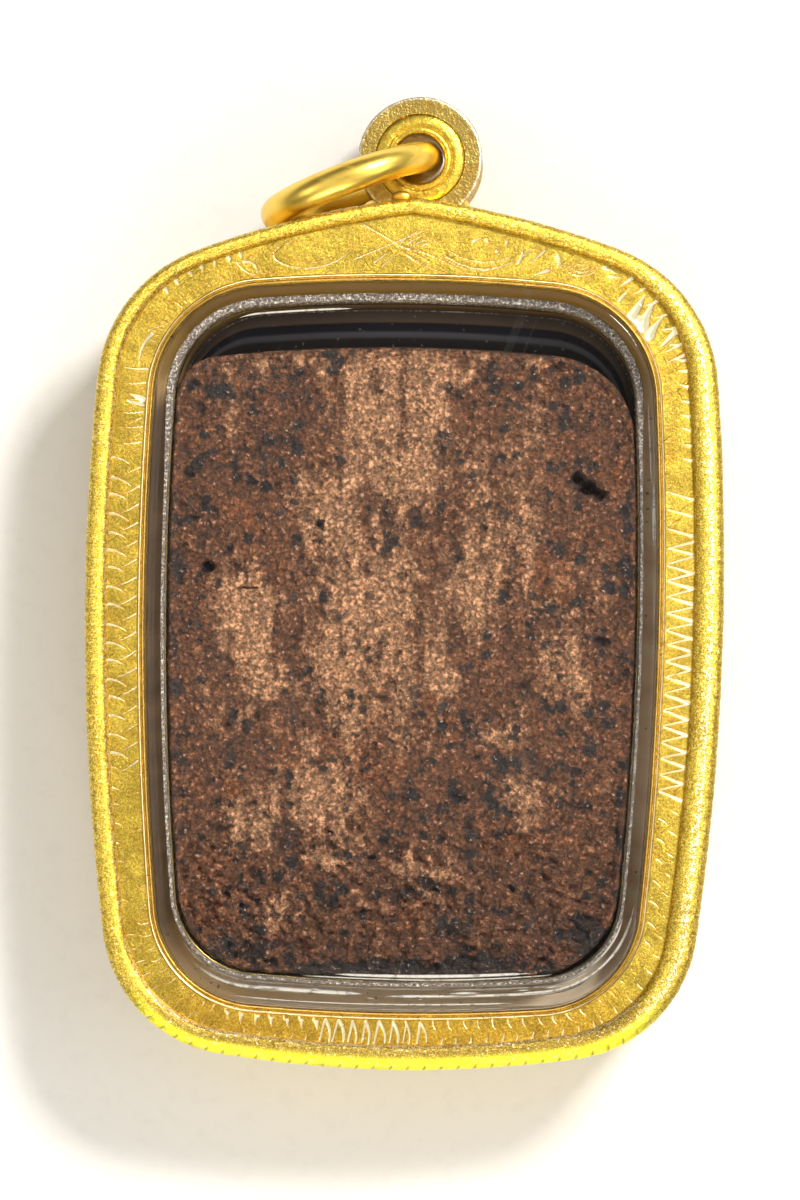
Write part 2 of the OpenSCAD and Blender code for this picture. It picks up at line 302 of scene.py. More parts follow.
def frame_arcs():
    """The frame's outer edge."""
    edge = sizes()["outline"]
    mid = 1j * middle_y()
    out = edge.roof_radius * math.sin(edge.apex_slope)
    down = edge.apex - edge.roof_radius * math.cos(edge.apex_slope)
    bowed = edge.half_width - edge.side_radius
    return outline(
        [Arc(complex(bowed, edge.widest) + mid, edge.side_radius),
         Arc(complex(edge.apex_shift - out, down) + mid, edge.roof_radius),
         Arc(complex(edge.apex_shift + out, down) + mid, edge.roof_radius),
         Arc(complex(-bowed, edge.widest) + mid, edge.side_radius),
         Arc(complex(0, edge.bottom_radius - edge.bottom) + mid, edge.bottom_radius)],
        [edge.top_corner, edge.nose_radius, edge.top_corner, edge.bottom_corner, edge.bottom_corner])


def oblong(half_width, top, bottom, corners):
    """A bowed oblong with the window's radii and middle.
    Its corners run from the upper right, anticlockwise."""
    window = sizes()["window"]
    mid = complex(window.shift, middle_y())
    widest = 1j * sizes()["outline"].widest
    bowed = half_width - window.side_radius
    return outline(
        [Arc(bowed + widest + mid, window.side_radius),
         Arc(1j * (top - window.top_radius) + mid, window.top_radius),
         Arc(widest - bowed + mid, window.side_radius),
         Arc(1j * (window.bottom_radius - bottom) + mid, window.bottom_radius)],
        corners)


def window_arcs():
    """The window's edge."""
    window = sizes()["window"]
    corners = [window.top_corner] * 2 + [window.bottom_corner] * 2
    return oblong(window.half_width, window.top, window.bottom, corners)


def hollow_arcs():
    """The hollow inside the clear case."""
    window = sizes()["window"]
    case = sizes()["case"]
    corners = [window.top_corner - case.side_width] * 2 + [window.bottom_corner - case.side_width] * 2
    return oblong(window.half_width - case.side_width, window.top - case.top_width,
                  window.bottom - case.bottom_width, corners)


def tablet_arcs():
    """The tablet's edge."""
    window = sizes()["window"]
    case = sizes()["case"]
    tablet = sizes()["tablet"]
    bottom = window.bottom - case.bottom_width - tablet.gap
    return oblong(window.half_width - case.side_width - tablet.gap, tablet.height - bottom, bottom,
                  [tablet.top_right, tablet.top_left, tablet.bottom_left, tablet.bottom_right])


def facing(arcs):
    """An oblong's arcs, with its top cut in three, so that each faces one arc of the frame."""
    top = arcs[2]
    cuts = (0, 0.5 - NOSE_SHARE, 0.5 + NOSE_SHARE, 1)
    return arcs[:2] + [top.stretch(a, b) for a, b in zip(cuts, cuts[1:])] + arcs[3:]


def counts_along(arcs, pitch):
    """How many steps each arc takes at that pitch."""
    return [max(4, round(arc.run() / pitch)) for arc in arcs]


def stations(arcs, counts, inset=0.0):
    """Points round an outline, as far inside it as inset says."""
    ring = []
    for arc, count in zip(arcs, counts):
        angles = np.linspace(arc.first, arc.last, count, endpoint=False)
        ring.append(arc.centre + (arc.radius - inset) * np.exp(1j * angles))
    return np.concatenate(ring)


def inward_ways(arcs, counts, inset=0.0):
    """The way into an outline at each station, with length 1."""
    way = stations(arcs, counts, inset + HAIR) - stations(arcs, counts, inset)
    return way / np.abs(way)


def stations_moved(arcs, counts, inset, extra):
    """Points round an outline, each a further step inside it."""
    return stations(arcs, counts, inset) + inward_ways(arcs, counts, inset) * extra


def bead_widths(arcs, counts):
    """The rolled bead's width at each station: fullest on the right and along the bottom."""
    border = sizes()["border"]
    outward = -inward_ways(arcs, counts)
    lean = border.bead_right * outward.real - border.bead_low * outward.imag
    return border.bead_width + lean + border.bead_sides * (outward.real**2 - outward.imag**2)


def level(points, z):
    """Outline points as a row of places at height z, which may be a number or one for each point."""
    return np.column_stack([points.real, points.imag, np.broadcast_to(z, points.shape)])


# Meshes
def meshed(name, bm, material):
    """A mesh of a finished bmesh, with its material."""
    mesh = bpy.data.meshes.new(name)
    bm.to_mesh(mesh)
    bm.free()
    mesh.materials.append(material)
    return mesh


def linked(name, data):
    """An object that shows a mesh, a lamp or a camera in the scene."""
    made = bpy.data.objects.new(name, data)
    bpy.context.scene.collection.objects.link(made)
    return made


def piece(name, bm, body, material, replaced, sharp=40):
    """Makes an object of a finished bmesh, rides it on its body and hides the part of the model that it
    stands for.
    """
    mesh = meshed(name, bm, material)
    mesh.shade_smooth()
    mesh.set_sharp_from_angle(angle=math.radians(sharp))
    made = linked(name, mesh)
    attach(made, body)
    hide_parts(replaced)
    return made


def skin(rows, closed=True, **marks):
    """A tube along an outline: each row is a ring of places, extruded from the row before it.
    A mark is a number or a colour for each place, kept as a vertex attribute."""
    bm = bmesh.new()
    kinds = bm.verts.layers
    layers = {name: (kinds.float if np.ndim(rows_of[0]) == 1 else kinds.float_color).new(name)
              for name, rows_of in marks.items()}
    ring = bmesh.ops.create_circle(bm, segments=len(rows[0]), radius=1)["verts"]
    first = ring
    for r, row in enumerate(rows):
        if r:
            ring = extruded(bm, ring)
        for s, (vert, place) in enumerate(zip(ring, row.tolist())):
            vert.co = place
            for name, layer in layers.items():
                vert[layer] = marks[name][r][s]
    if closed:
        last = extruded(bm, ring)
        for vert, target in zip(last, first):
            vert.co = target.co
        bmesh.ops.remove_doubles(bm, verts=first + last, dist=1e-8)
    else:
        for loop in (first, ring):
            bmesh.ops.contextual_create(bm, geom=loop_edges(loop))
    bmesh.ops.recalc_face_normals(bm, faces=bm.faces)
    return bm


def loop_edges(ring):
    """The edges that join a ring of vertices, in order."""
    edges = []
    for vert, after in zip(ring, ring[1:] + ring[:1]):
        edges.append(next(e for e in vert.link_edges if e.other_vert(vert) == after))
    return edges


def extruded(bm, ring):
    """Extrudes a ring of edges in place and returns its new vertices, in the ring's order."""
    new = bmesh.ops.extrude_edge_only(bm, edges=loop_edges(ring))["geom"]
    fresh = {g for g in new if isinstance(g, bmesh.types.BMVert)}
    return [next(e.other_vert(vert) for e in vert.link_edges if e.other_vert(vert) in fresh)
            for vert in ring]


def spun(profile, centre, axis, steps, start):
    """A closed profile spun right round an axis. Profile rows are the distance from it and along it."""
    bm = bmesh.new()
    axis = Vector(axis)
    verts = [bm.verts.new(Vector(centre) + r * Vector(start) + h * axis) for r, h in profile]
    edges = [bm.edges.new((a, b)) for a, b in zip(verts, verts[1:] + verts[:1])]
    bmesh.ops.spin(bm, geom=verts + edges, cent=centre, axis=axis, dvec=(0, 0, 0), angle=FULL_TURN,
                   steps=steps, use_merge=True, use_normal_flip=False, use_duplicate=False)
    bmesh.ops.remove_doubles(bm, verts=bm.verts, dist=1e-8)
    bmesh.ops.recalc_face_normals(bm, faces=bm.faces)
    return bm


def round_corner(x, y, radius, begin, end, steps):
    """Points round a corner of a profile, from one direction to another, in degrees."""
    angles = np.radians(np.linspace(begin, end, steps))
    return [(x + radius * math.cos(a), y + radius * math.sin(a)) for a in angles]


def ripple(places, scale, seed=0.0, octaves=1):
    """Smooth noise from -1 to 1 at each place, with lumps about as big as scale."""
    shift = Vector((seed, seed * 1.7, seed * 0.6))
    value = np.zeros(len(places))
    weight = 1.0
    for _ in range(octaves):
        value += weight * np.array([noise.noise(Vector(p) / scale + shift) for p in places])
        scale /= 2
        weight /= 2
    return value


def bell(value, middle, wide):
    """1 at the middle and a smooth fall to 0 on both sides."""
    return math.exp(-((value - middle) / wide) ** 2)


def smooth_step(value, low, high):
    """0 below low, 1 above high and a smooth rise between them."""
    t = np.clip((value - low) / (high - low), 0, 1)
    return t * t * (3 - 2 * t)


# Engraving
class Cut(NamedTuple):
    """One stroke of the graver: its points, and half its width at each end."""
    points: list
    begin: float
    end: float


def bent(a, b, bend, begin, end, steps=6):
    """A stroke from a to b that bows to its left by a share of its length."""
    t = np.linspace(0, 1, steps)
    path = a + (b - a) * t + 1j * (b - a) * bend * 4 * t * (1 - t)
    return Cut(list(path), begin, end)


def swept(centre, across, up, begin_turn, end_turn, begin, end, steps=14):
    """A stroke along part of an ellipse, between two directions in degrees."""
    angles = np.radians(np.linspace(begin_turn, end_turn, steps))
    return Cut(list(centre + across * np.cos(angles) + 1j * up * np.sin(angles)), begin, end)


def within(values, a, b, reach):
    """Which values lie between a and b, or within reach of them."""
    return (values > min(a, b) - reach) & (values < max(a, b) + reach)


def carve(field, spots, cut):
    """Deepens a field, one number for each spot, to the V of a stroke."""
    lengths = [abs(b - a) for a, b in zip(cut.points, cut.points[1:])]
    total = max(sum(lengths), 1e-9)
    done = 0.0
    for a, b, step in zip(cut.points, cut.points[1:], lengths):
        reach = max(cut.begin, cut.end, THINNEST_CUT)
        near = np.nonzero(within(spots.real, a.real, b.real, reach)
                          & within(spots.imag, a.imag, b.imag, reach))[0]
        if len(near) and step > 0:
            local = (spots[near] - a) / ((b - a) / step)
            t = np.clip(local.real / step, 0, 1)
            off = np.hypot(local.real - t * step, local.imag)
            half = cut.begin + (cut.end - cut.begin) * (done + t * step) / total
            depth = np.clip(1 - off / np.maximum(half, THINNEST_CUT), 0, 1) * half / WIDEST_CUT
            field[near] = np.maximum(field[near], depth)
        done += step


class Border:
    """The flat band between the bead and the lip, with places given along it and across it."""

    def __init__(self, pitch):
        border = sizes()["border"]
        self.frame = frame_arcs()
        self.window = facing(window_arcs())
        self.counts = counts_along(self.frame, pitch)
        self.outer = self.on_frame(bead_widths(self.frame, self.counts))
        self.inner = self.on_window(-border.lip_width)
        middle = (self.outer + self.inner) / 2
        steps = np.roll(middle, -1) - middle
        self.along = np.concatenate([[0], np.cumsum(np.abs(steps))])
        self.middle = middle
        coarse = slice(None, None, KNOT_STEP)
        outward = -1j * (steps / np.abs(steps))[coarse]
        reach_out, reach_in = (np.abs(line[:, None] - middle[coarse][None, :]).min(axis=0)
                               for line in (self.outer, self.inner))
        self.knots = self.along[:-1][coarse]
        self.low = middle[coarse] - outward * reach_in
        self.high = middle[coarse] + outward * reach_out

    def on_frame(self, inset):
        """Points inside the frame's edge."""
        return stations_moved(self.frame, self.counts, 0, inset)

    def on_window(self, inset):
        """Points inside the window's edge."""
        return stations(self.window, self.counts, inset)

    def place(self, along, across):
        """A point of the band: how far along it, and its share of the way from the lip to the bead."""
        total = self.along[-1]
        lip, bead = (np.interp(along, self.knots, line.real, period=total)
                     + 1j * np.interp(along, self.knots, line.imag, period=total)
                     for line in (self.low, self.high))
        return lip + (bead - lip) * across

    def nearest(self, point):
        """How far along the band the nearest place to a point is."""
        return self.along[int(np.argmin(np.abs(self.middle - point)))]


class Run(NamedTuple):
    """A run of like cuts, from one place round to another, anticlockwise.
    Each stroke is: where across the band it starts and ends, how far it starts past the step and
    how far it leans, how much it bows, and half its width at each end. Lengths are in millimetres."""
    begin: complex
    end: complex
    pitch: float
    strokes: tuple


def in_case(point):
    """A place measured in the picture, in millimetres from the middle line, put in the shared frame."""
    return point * cmath.exp(1j * sizes()["stage"].roll) * MM + 1j * middle_y()


def in_picture(places):
    """The x and y of places as the picture shows them, in millimetres from the middle line."""
    flat = np.array(places)
    spots = (flat[:, 0] + 1j * (flat[:, 1] - middle_y())) / MM
    spots = spots * cmath.exp(-1j * sizes()["stage"].roll)
    return spots.real, spots.imag


def run_cuts(border, run):
    """The strokes of one run of cuts, a little uneven, as a hand makes them."""
    begin = border.nearest(in_case(run.begin))
    stretch = (border.nearest(in_case(run.end)) - begin) % border.along[-1]
    cuts = []
    for i in range(round(stretch / (run.pitch * MM))):
        for k, (a, b, offset, lean, bow, thick, thin) in enumerate(run.strokes):
            hand = noise.noise(Vector((i * 1.37, k * 5.1, run.pitch * 9)))
            strength = 1 + 0.35 * noise.noise(Vector((i * 0.9, k * 3.3, run.begin.real)))
            start = begin + (run.pitch * (i + 0.12 * hand) + offset) * MM
            tip = start + (lean + 0.12 * hand) * MM
            ends = border.place(start, a + 0.05 * hand), border.place(tip, b - 0.08 * hand)
            cuts.append(bent(*ends, bow, thick * strength * MM, thin * strength * MM))
    return cuts


# Runs of cuts round the border, anticlockwise from the lower right
RUNS = (
    # Right side, from the bottom up
    Run(15.6 - 17j, 15.9 - 8.5j, 1.1,
        ((0.15, 0.5, 0, -0.3, 0.1, 0.05, 0.02), (0.85, 0.5, 0.3, 0.2, 0, 0.04, 0.02))),
    Run(15.9 - 8.5j, 16 + 5.6j, 0.86,
        ((0.08, 0.95, 0, -0.36, 0, 0.06, 0.11), (0.08, 0.95, 0.05, 0.34, 0, 0.05, 0.08))),
    Run(16 + 5.6j, 15.8 + 9.3j, 1.05,
        ((0.08, 0.95, 0, -0.4, 0, 0.05, 0.1), (0.1, 0.3, 0.2, 0.12, 0, 0.04, 0.02))),
    Run(15.8 + 9.3j, 15 + 14.6j, 0.78,
        ((0.98, 0.68, 0, 0.12, 0, 0.1, 0.03), (0.06, 0.38, 0.3, 0.06, 0, 0.035, 0.02),
         (0.06, 0.3, 0.1, 0.04, 0, 0.02, 0.02))),
    # Round the upper right corner
    Run(15 + 14.6j, 11 + 19.3j, 0.8, ((0.97, 0.6, 0, 0.25, 0.05, 0.1, 0.03),)),
    # Upper left corner: small wedges at the bead and fine lines at the lip
    Run(-8.7 + 20.4j, -13.2 + 17.6j, 0.68, ((0.93, 0.72, 0, 0.05, 0, 0.11, 0.02),)),
    Run(-7.6 + 19.6j, -14.2 + 13.8j, 0.42, ((0.12, 0.42, 0, 0.1, 0, 0.028, 0.02),)),
    # Left side, from the top down
    Run(-14.6 + 14.4j, -15.3 + 9.5j, 0.8,
        ((0.05, 0.85, 0, 0.12, 0.04, 0.07, 0.02), (0.1, 0.6, 0.3, 0.45, 0, 0.04, 0.02))),
    Run(-15.3 + 9.5j, -15.4 - 7j, 0.98,
        ((0.97, 0.35, 0, 0.38, 0.08, 0.085, 0.02), (0.04, 0.72, 0.49, 0.5, 0.04, 0.065, 0.018))),
    Run(-15.4 - 7j, -14.6 - 15.5j, 1.0,
        ((0.97, 0.72, 0, 0.12, 0, 0.05, 0.02), (0.05, 0.3, 0.4, 0.12, 0, 0.035, 0.02))),
    # Round the lower left corner
    Run(-14.6 - 15.5j, -9.6 - 20.6j, 0.72,
        ((0.08, 0.5, 0, -0.15, 0.12, 0.05, 0.02), (0.97, 0.6, 0.35, 0.1, 0, 0.045, 0.02))),
    # Bottom, from the left
    Run(-9.6 - 20.6j, -4.2 - 21.4j, 0.8,
        ((0.06, 0.2, 0, 0.16, -0.2, 0.06, 0.09), (0.2, 0.62, 0.16, 0.1, -0.12, 0.09, 0.02),
         (0.98, 0.8, 0.4, 0.06, 0, 0.05, 0.03))),
    Run(-4.2 - 21.4j, 1.6 - 21.6j, 0.72,
        ((0.1, 0.95, 0, -0.2, 0, 0.08, 0.06), (0.1, 0.95, 0.02, 0.24, 0.1, 0.09, 0.06))),
    Run(1.6 - 21.6j, 10.5 - 20.4j, 0.8,
        ((0.08, 0.45, 0, 0.2, -0.12, 0.07, 0.02), (0.98, 0.72, 0.4, 0.08, 0, 0.075, 0.03))),
    Run(10.5 - 20.4j, 14.6 - 16.4j, 0.85,
        ((0.97, 0.62, 0, 0.12, 0.1, 0.05, 0.02), (0.1, 0.4, 0.4, 0.1, 0, 0.03, 0.02))),
)

# Strokes of the ornament over the window. Each row is: where it starts and ends, its bow and half its
# width at each end, in millimetres from the middle line.
STROKES = (
    # Curl on the left
    (-8.9 + 19.9j, -7 + 19.5j, -0.24, 0.04, 0.02), (-8.5 + 19.9j, -7.8 + 19.35j, 0.3, 0.09, 0.04),
    (-9 + 19.75j, -7.7 + 20.45j, 0, 0.035, 0.02),
    # Long cross
    (-2.1 + 21.9j, 1.4 + 19.9j, 0, 0.045, 0.03), (-2.6 + 20.05j, 1.4 + 21.7j, 0, 0.045, 0.03),
    (-3.9 + 19.8j, -2.6 + 20.75j, -0.06, 0.05, 0.02),
    (-2.3 + 21.9j, -0.8 + 20.9j, 0, 0.03, 0.02), (-1.5 + 19.9j, -0.7 + 20.5j, 0, 0.07, 0.02),
    (-1.1 + 19.7j, -0.4 + 20.3j, 0, 0.06, 0.02), (-3 + 20.6j, -1.6 + 21.2j, 0.05, 0.025, 0.02),
    # Feather right of the cross
    (-0.1 + 20.95j, 0.9 + 21.6j, 0.05, 0.05, 0.02), (0.2 + 20.85j, 1.3 + 21.4j, 0.05, 0.05, 0.02),
    (0.6 + 20.8j, 1.7 + 21.2j, 0.05, 0.05, 0.02), (1 + 20.75j, 2 + 21.05j, 0.05, 0.045, 0.02),
    # Long leaf
    (-0.3 + 20.75j, 3.7 + 18.95j, 0.06, 0.035, 0.025), (-0.1 + 20.5j, 3 + 19.1j, -0.06, 0.035, 0.025),
    (0.3 + 20.9j, 2.4 + 20.1j, -0.08, 0.03, 0.02), (0.1 + 20.3j, 1.8 + 19.3j, -0.04, 0.03, 0.02),
    # Waves
    (2.2 + 20.25j, 5.9 + 19.9j, -0.15, 0.035, 0.05), (2.4 + 20.5j, 5.7 + 20.15j, -0.13, 0.03, 0.04),
    (2.3 + 20j, 5.2 + 19.6j, -0.12, 0.03, 0.03), (6.1 + 19.8j, 6.35 + 20.65j, -0.1, 0.1, 0.04),
    # Leaves and wedges by the bead
    (3.75 + 21j, 4.15 + 21.15j, 0, 0.1, 0.04), (4.4 + 21.1j, 4.55 + 20.85j, 0, 0.09, 0.03),
    (4.95 + 20.5j, 5.1 + 20.25j, 0, 0.09, 0.03), (5.5 + 20.95j, 5.5 + 20.65j, 0, 0.09, 0.03),
    (6.45 + 20.2j, 7.25 + 20.65j, 0.08, 0.06, 0.02), (7.5 + 20.45j, 6.65 + 19.85j, 0.05, 0.09, 0.03),
    (7 + 19.2j, 7.65 + 19.4j, 0, 0.03, 0.13), (7.65 + 19.2j, 8.1 + 19.8j, 0, 0.03, 0.04),
    (8.2 + 20.2j, 8.38 + 19.55j, 0, 0.12, 0.06), (8 + 18.45j, 7.8 + 19.05j, 0, 0.03, 0.02),
    (8 + 18.45j, 8.15 + 19.1j, 0, 0.03, 0.02), (8 + 18.45j, 8.5 + 18.9j, 0, 0.03, 0.02),
    (5.85 + 18.85j, 5.75 + 19.4j, 0, 0.03, 0.02), (5.85 + 18.85j, 6.1 + 19.35j, 0, 0.03, 0.02),
    (10.7 + 19.55j, 11.4 + 19.2j, 0, 0.12, 0.02), (11 + 19.1j, 11.7 + 19j, 0, 0.1, 0.02),
    # Wide wedges in the upper right corner, broad at the lip
    (11.5 + 17.8j, 12.1 + 18.5j, 0, 0.1, 0.03), (12.15 + 16.95j, 12.9 + 18.15j, 0, 0.3, 0.03),
    (12.5 + 16.7j, 13.3 + 17.25j, 0, 0.26, 0.03), (12.75 + 16.4j, 13.4 + 17.8j, 0.05, 0.34, 0.03),
    (13.1 + 15.9j, 13.8 + 16.9j, 0.05, 0.28, 0.03), (13.75 + 15.4j, 14.45 + 16.1j, 0, 0.08, 0.18),
    (13.95 + 15.05j, 14.85 + 15.5j, 0, 0.05, 0.1), (14 + 14.5j, 15 + 14.9j, 0, 0.04, 0.12),
    # Leaf and long line in the upper left corner
    (-14.1 + 14.4j, -13.4 + 16.1j, 0.12, 0.03, 0.11), (-13.6 + 16.3j, -9.2 + 18.8j, -0.06, 0.03, 0.025),
    (-14.6 + 12.9j, -13.9 + 12.6j, 0, 0.02, 0.2), (-14.7 + 12.5j, -13.9 + 12.3j, 0, 0.05, 0.12),
)

# Strokes along ellipses: middle, half width, half height, first and last direction in degrees, and
# half the width of the cut at each end
LOOPS = (
    (-5.2 + 20.3j, 1.75, 0.72, 105, 320, 0.03, 0.05), (-5.1 + 20.3j, 1.3, 0.4, 170, 330, 0.02, 0.03),
    (9.5 + 19.9j, 0.27, 0.2, 180, 360, 0.03, 0.03), (9.5 + 19.9j, 0.5, 0.4, 185, 350, 0.03, 0.03),
    (9.5 + 19.9j, 0.72, 0.58, 190, 345, 0.035, 0.035), (9.5 + 19.9j, 0.95, 0.78, 195, 340, 0.035, 0.04),
)


def all_cuts(border):
    """Every stroke of the engraving."""
    cuts = [cut for run in RUNS for cut in run_cuts(border, run)]
    cuts += [bent(in_case(a), in_case(b), bow, thick * MM, thin * MM)
             for a, b, bow, thick, thin in STROKES]
    cuts += [swept(in_case(c), across * MM, up * MM, first, last, thick * MM, thin * MM)
             for c, across, up, first, last, thick, thin in LOOPS]
    return cuts


# Gold pieces
LANES = 24
WIDEST_CUT = 0.2 * MM
THINNEST_CUT = 0.055 * MM
# The ticks on the bead's flank: how far they slant over a millimetre and half their width, as shares
# of their pitch
TICK_SLANT = 0.5
TICK_WIDTH = 0.11
# The border's band is measured at every sixth station
KNOT_STEP = 6
# Where the plate darkens towards the bottom, a painted shade, in millimetres below the middle line
PAINTED_SHADE_LOW = (18, 20.5)

# The double lip, from the plate to the window: share of its width, share of its height, how bright
# its painted highlight is and how brown its hollow is
LIP = (
    (0.96, 0.1, 0, 0.5), (0.88, 0.8, 0.3, 0), (0.8, 1, 0.5, 0), (0.7, 0.75, 0.2, 0.1),
    (0.62, 0.25, 0, 0.5), (0.48, 0.25, 0, 0.5), (0.38, 0.75, 0, 0.2), (0.24, 1, 0.25, 0),
    (0.1, 0.75, 0, 0.3), (0, 0, 0, 0.6),
)


def make_plate(side, pitch):
    """The engraved plate and its lip, on the back or, mirrored, on the front."""
    size = sizes()["border"]
    border = Border(pitch)
    under = size.plate_drop + size.plate_thickness
    tucked = border.on_frame(bead_widths(border.frame, border.counts) - size.bead_tuck)
    # Painted shade: the plate turns deeper gold towards the bottom
    painted_shade = 0.4 * smooth_step((middle_y() - border.middle.imag) / MM, *PAINTED_SHADE_LOW)
    rows = []

    def ring(line, depth, is_open=0.0, shine=0.0, brown=0.0):
        marks = np.full(len(line), is_open), np.full(len(line), shine), np.maximum(painted_shade, brown)
        rows.append((placed(level(line, depth), side), *marks))

    ring(tucked, under)
    ring(tucked, size.plate_drop)
    for t in np.linspace(0, 1, LANES):
        ring(border.outer + (border.inner - border.outer) * t, size.plate_drop, is_open=1.0)
    for across, up, shine, brown in LIP:
        line = border.on_window(-across * size.lip_width)
        ring(line, size.plate_drop - size.lip_rise * up, shine=shine, brown=brown)
    ring(border.on_window(0), under)
    places, open_face, bright, shade_and_lip_brown = zip(*rows)
    bm = skin(places, open_face=open_face, cut=bright, stain=shade_and_lip_brown)
    if side == "back":
        refine_crown(bm)
    engrave(bm, border, -1 if side == "back" else 1)
    return piece(side + "_plate", bm, CASE, engraved_gold(), side + "_bezel", sharp=50)


def refine_crown(bm):
    """Halves the spaces between the lanes over the window, where the ornament is fine."""
    window = sizes()["window"]
    low = middle_y() + window.top - 1.5 * MM
    reach = window.half_width - 3 * MM
    open_face = bm.verts.layers.float["open_face"]
    across = []
    for edge in bm.edges:
        way = edge.verts[0].co - edge.verts[1].co
        on_crown = all(v[open_face] > 0.5 and v.co.y > low and abs(v.co.x) < reach for v in edge.verts)
        if on_crown and abs(way.y) > 1.5 * abs(way.x):
            across.append(edge)
    bmesh.ops.subdivide_edges(bm, edges=across, cuts=1, use_grid_fill=True)


def engrave(bm, border, down):
    """Cuts the strokes and the soft dents into the open face of a plate."""
    size = sizes()["border"]
    layers = bm.verts.layers.float
    verts = [v for v in bm.verts if v[layers["open_face"]] > 0.99]
    spots = np.array([complex(v.co.x, v.co.y) for v in verts])
    field = np.zeros(len(spots))
    for cut in all_cuts(border):
        carve(field, spots, cut)
    flat = level(spots, 0.0)
    dents = ripple(flat, 2.2 * MM, 3.0) + 0.5 * ripple(flat, 0.8 * MM, 8.0)
    drop = size.cut_depth * np.minimum(field, 1) + size.dent_depth * (0.7 + dents)
    mark = layers["cut"]
    for vert, depth, strength in zip(verts, drop, np.minimum(1, field * 2.4)):
        vert.co.z += down * depth
        vert[mark] = strength


def placed(row, side):
    """A row whose heights are depths below the top of a bead, put on the back or the front."""
    row = row.copy()
    row[:, 2] = BACK_Z - row[:, 2] if side == "back" else row[:, 2]
    return row


def make_bead(side, pitch):
    """The rolled bead, with slanting ticks milled into its outer flank and a grainy, frosted skin.
    Its marks paint a highlight along the crest on the right and along the inner foot, light on the
    outer half of the lower flank, and shade on the lower inner flank, on the right's outer flank and in
    the crease by the plate.
    """
    size = sizes()["border"]
    arcs = frame_arcs()
    counts = counts_along(arcs, pitch)
    radius = size.bead_height / 2
    section = round_corner(radius, radius, radius, 90, 270, 15)
    section += round_corner(size.bead_width - radius, radius, radius, 270, 450, 15)
    widths = bead_widths(arcs, counts)
    edge = stations(arcs, counts)
    inward = inward_ways(arcs, counts)
    steps = np.abs(np.roll(edge, -1) - edge)
    along = np.concatenate([[0], np.cumsum(steps)[:-1]])
    ticks = round(np.sum(steps) / size.tick_pitch)
    phase = along / np.sum(steps) * ticks
    right = smooth_step(-inward.real, 0.35, 0.8)
    left = smooth_step(inward.real, 0.35, 0.8)
    low = smooth_step(inward.imag, 0.5, 0.85)
    rows = []
    for inset, depth in section:
        flank = smooth_step(inset, 0.45 * MM, 0.1 * MM) * smooth_step(depth, 0.85 * MM, 0.6 * MM)
        slant = (phase + TICK_SLANT * depth / MM) % 1
        tick = flank * np.clip(1 - np.abs(slant - 0.5) / TICK_WIDTH, 0, 1)
        flat = stations_moved(arcs, counts, 0, inset * widths / size.bead_width)
        row = level(flat, depth)
        grain = 0.016 * MM * ripple(row, 0.3 * MM, 5.0) + 0.02 * MM * ripple(row, 2.5 * MM, 2.0)
        out = complex(radius - inset if inset < radius else min(0, size.bead_width - radius - inset),
                      radius - depth)
        out = out / max(abs(out), 1e-9)
        push = -(grain + size.tick_depth * tick)
        moved = level(flat - inward * out.real * push, depth - out.imag * push)
        across = inset / size.bead_width
        crest, foot = bell(across, 0.47, 0.11), bell(across, 0.93, 0.07)
        slope, join = bell(across, 0.7, 0.16), bell(across, 1.02, 0.07)
        # Painted highlight: the worn mark makes the crest pale on the right and the inner foot pale on
        # the left and along the bottom
        worn = 0.75 * right * crest + (0.6 * left + 0.8 * low) * foot
        # Painted light: the outer half of the lower flank is made brighter gold
        sunny = low * smooth_step(across, 0.56, 0.42)
        # Painted shade: deeper gold on the lower inner flank, on the right's outer flank and in the
        # crease by the plate along the top and the right
        painted_shade = 1.1 * low * slope + 0.4 * right * smooth_step(across, 0.36, 0.2)
        painted_shade = painted_shade + 0.4 * (1 - left) * (1 - low) * join
        rows.append((placed(moved, side), tick, worn, sunny, painted_shade))
    places, cut, worn, sunny, painted_shade = zip(*rows)
    bm = skin(places, cut=cut, worn=worn, sunny=sunny, stain=painted_shade)
    return piece(side + "_bead", bm, CASE, frosted_gold(), side + "_bezel")


def make_wall():
    """The polished side wall, a little uneven, as sheet that was bent by hand."""
    loop = sizes()["loop"]
    border = sizes()["border"]
    gap = sizes()["case"].gap
    arcs = frame_arcs()
    counts = counts_along(arcs, 0.35 * MM)
    low = border.bead_height + gap
    high = BACK_Z - low
    inner = loop.wall_inset + loop.wall_thickness
    rows = []
    for z in np.linspace(low, high, 22):
        flat = level(stations(arcs, counts, loop.wall_inset), z)
        dent = 0.03 * MM * (1 + ripple(flat, 3.5 * MM, 11.0))
        rows.append(level(stations_moved(arcs, counts, loop.wall_inset, dent), z))
    rows += [level(stations(arcs, counts, inner), high), level(stations(arcs, counts, inner), low)]
    bm = skin(rows)
    return piece("side_wall", bm, CASE, polished_gold(), "case_band")


def loop_centre():
    """The middle of the loop's bore."""
    edge = sizes()["outline"]
    loop = sizes()["loop"]
    return Vector((edge.apex_shift + loop.shift, edge.apex + loop.rise + middle_y(), MIDDLE_Z))


# The collar round the bore: how deep it is let into the face and how high it stands
COLLAR_SINK = 0.08 * MM
COLLAR_HEIGHT = 0.22 * MM


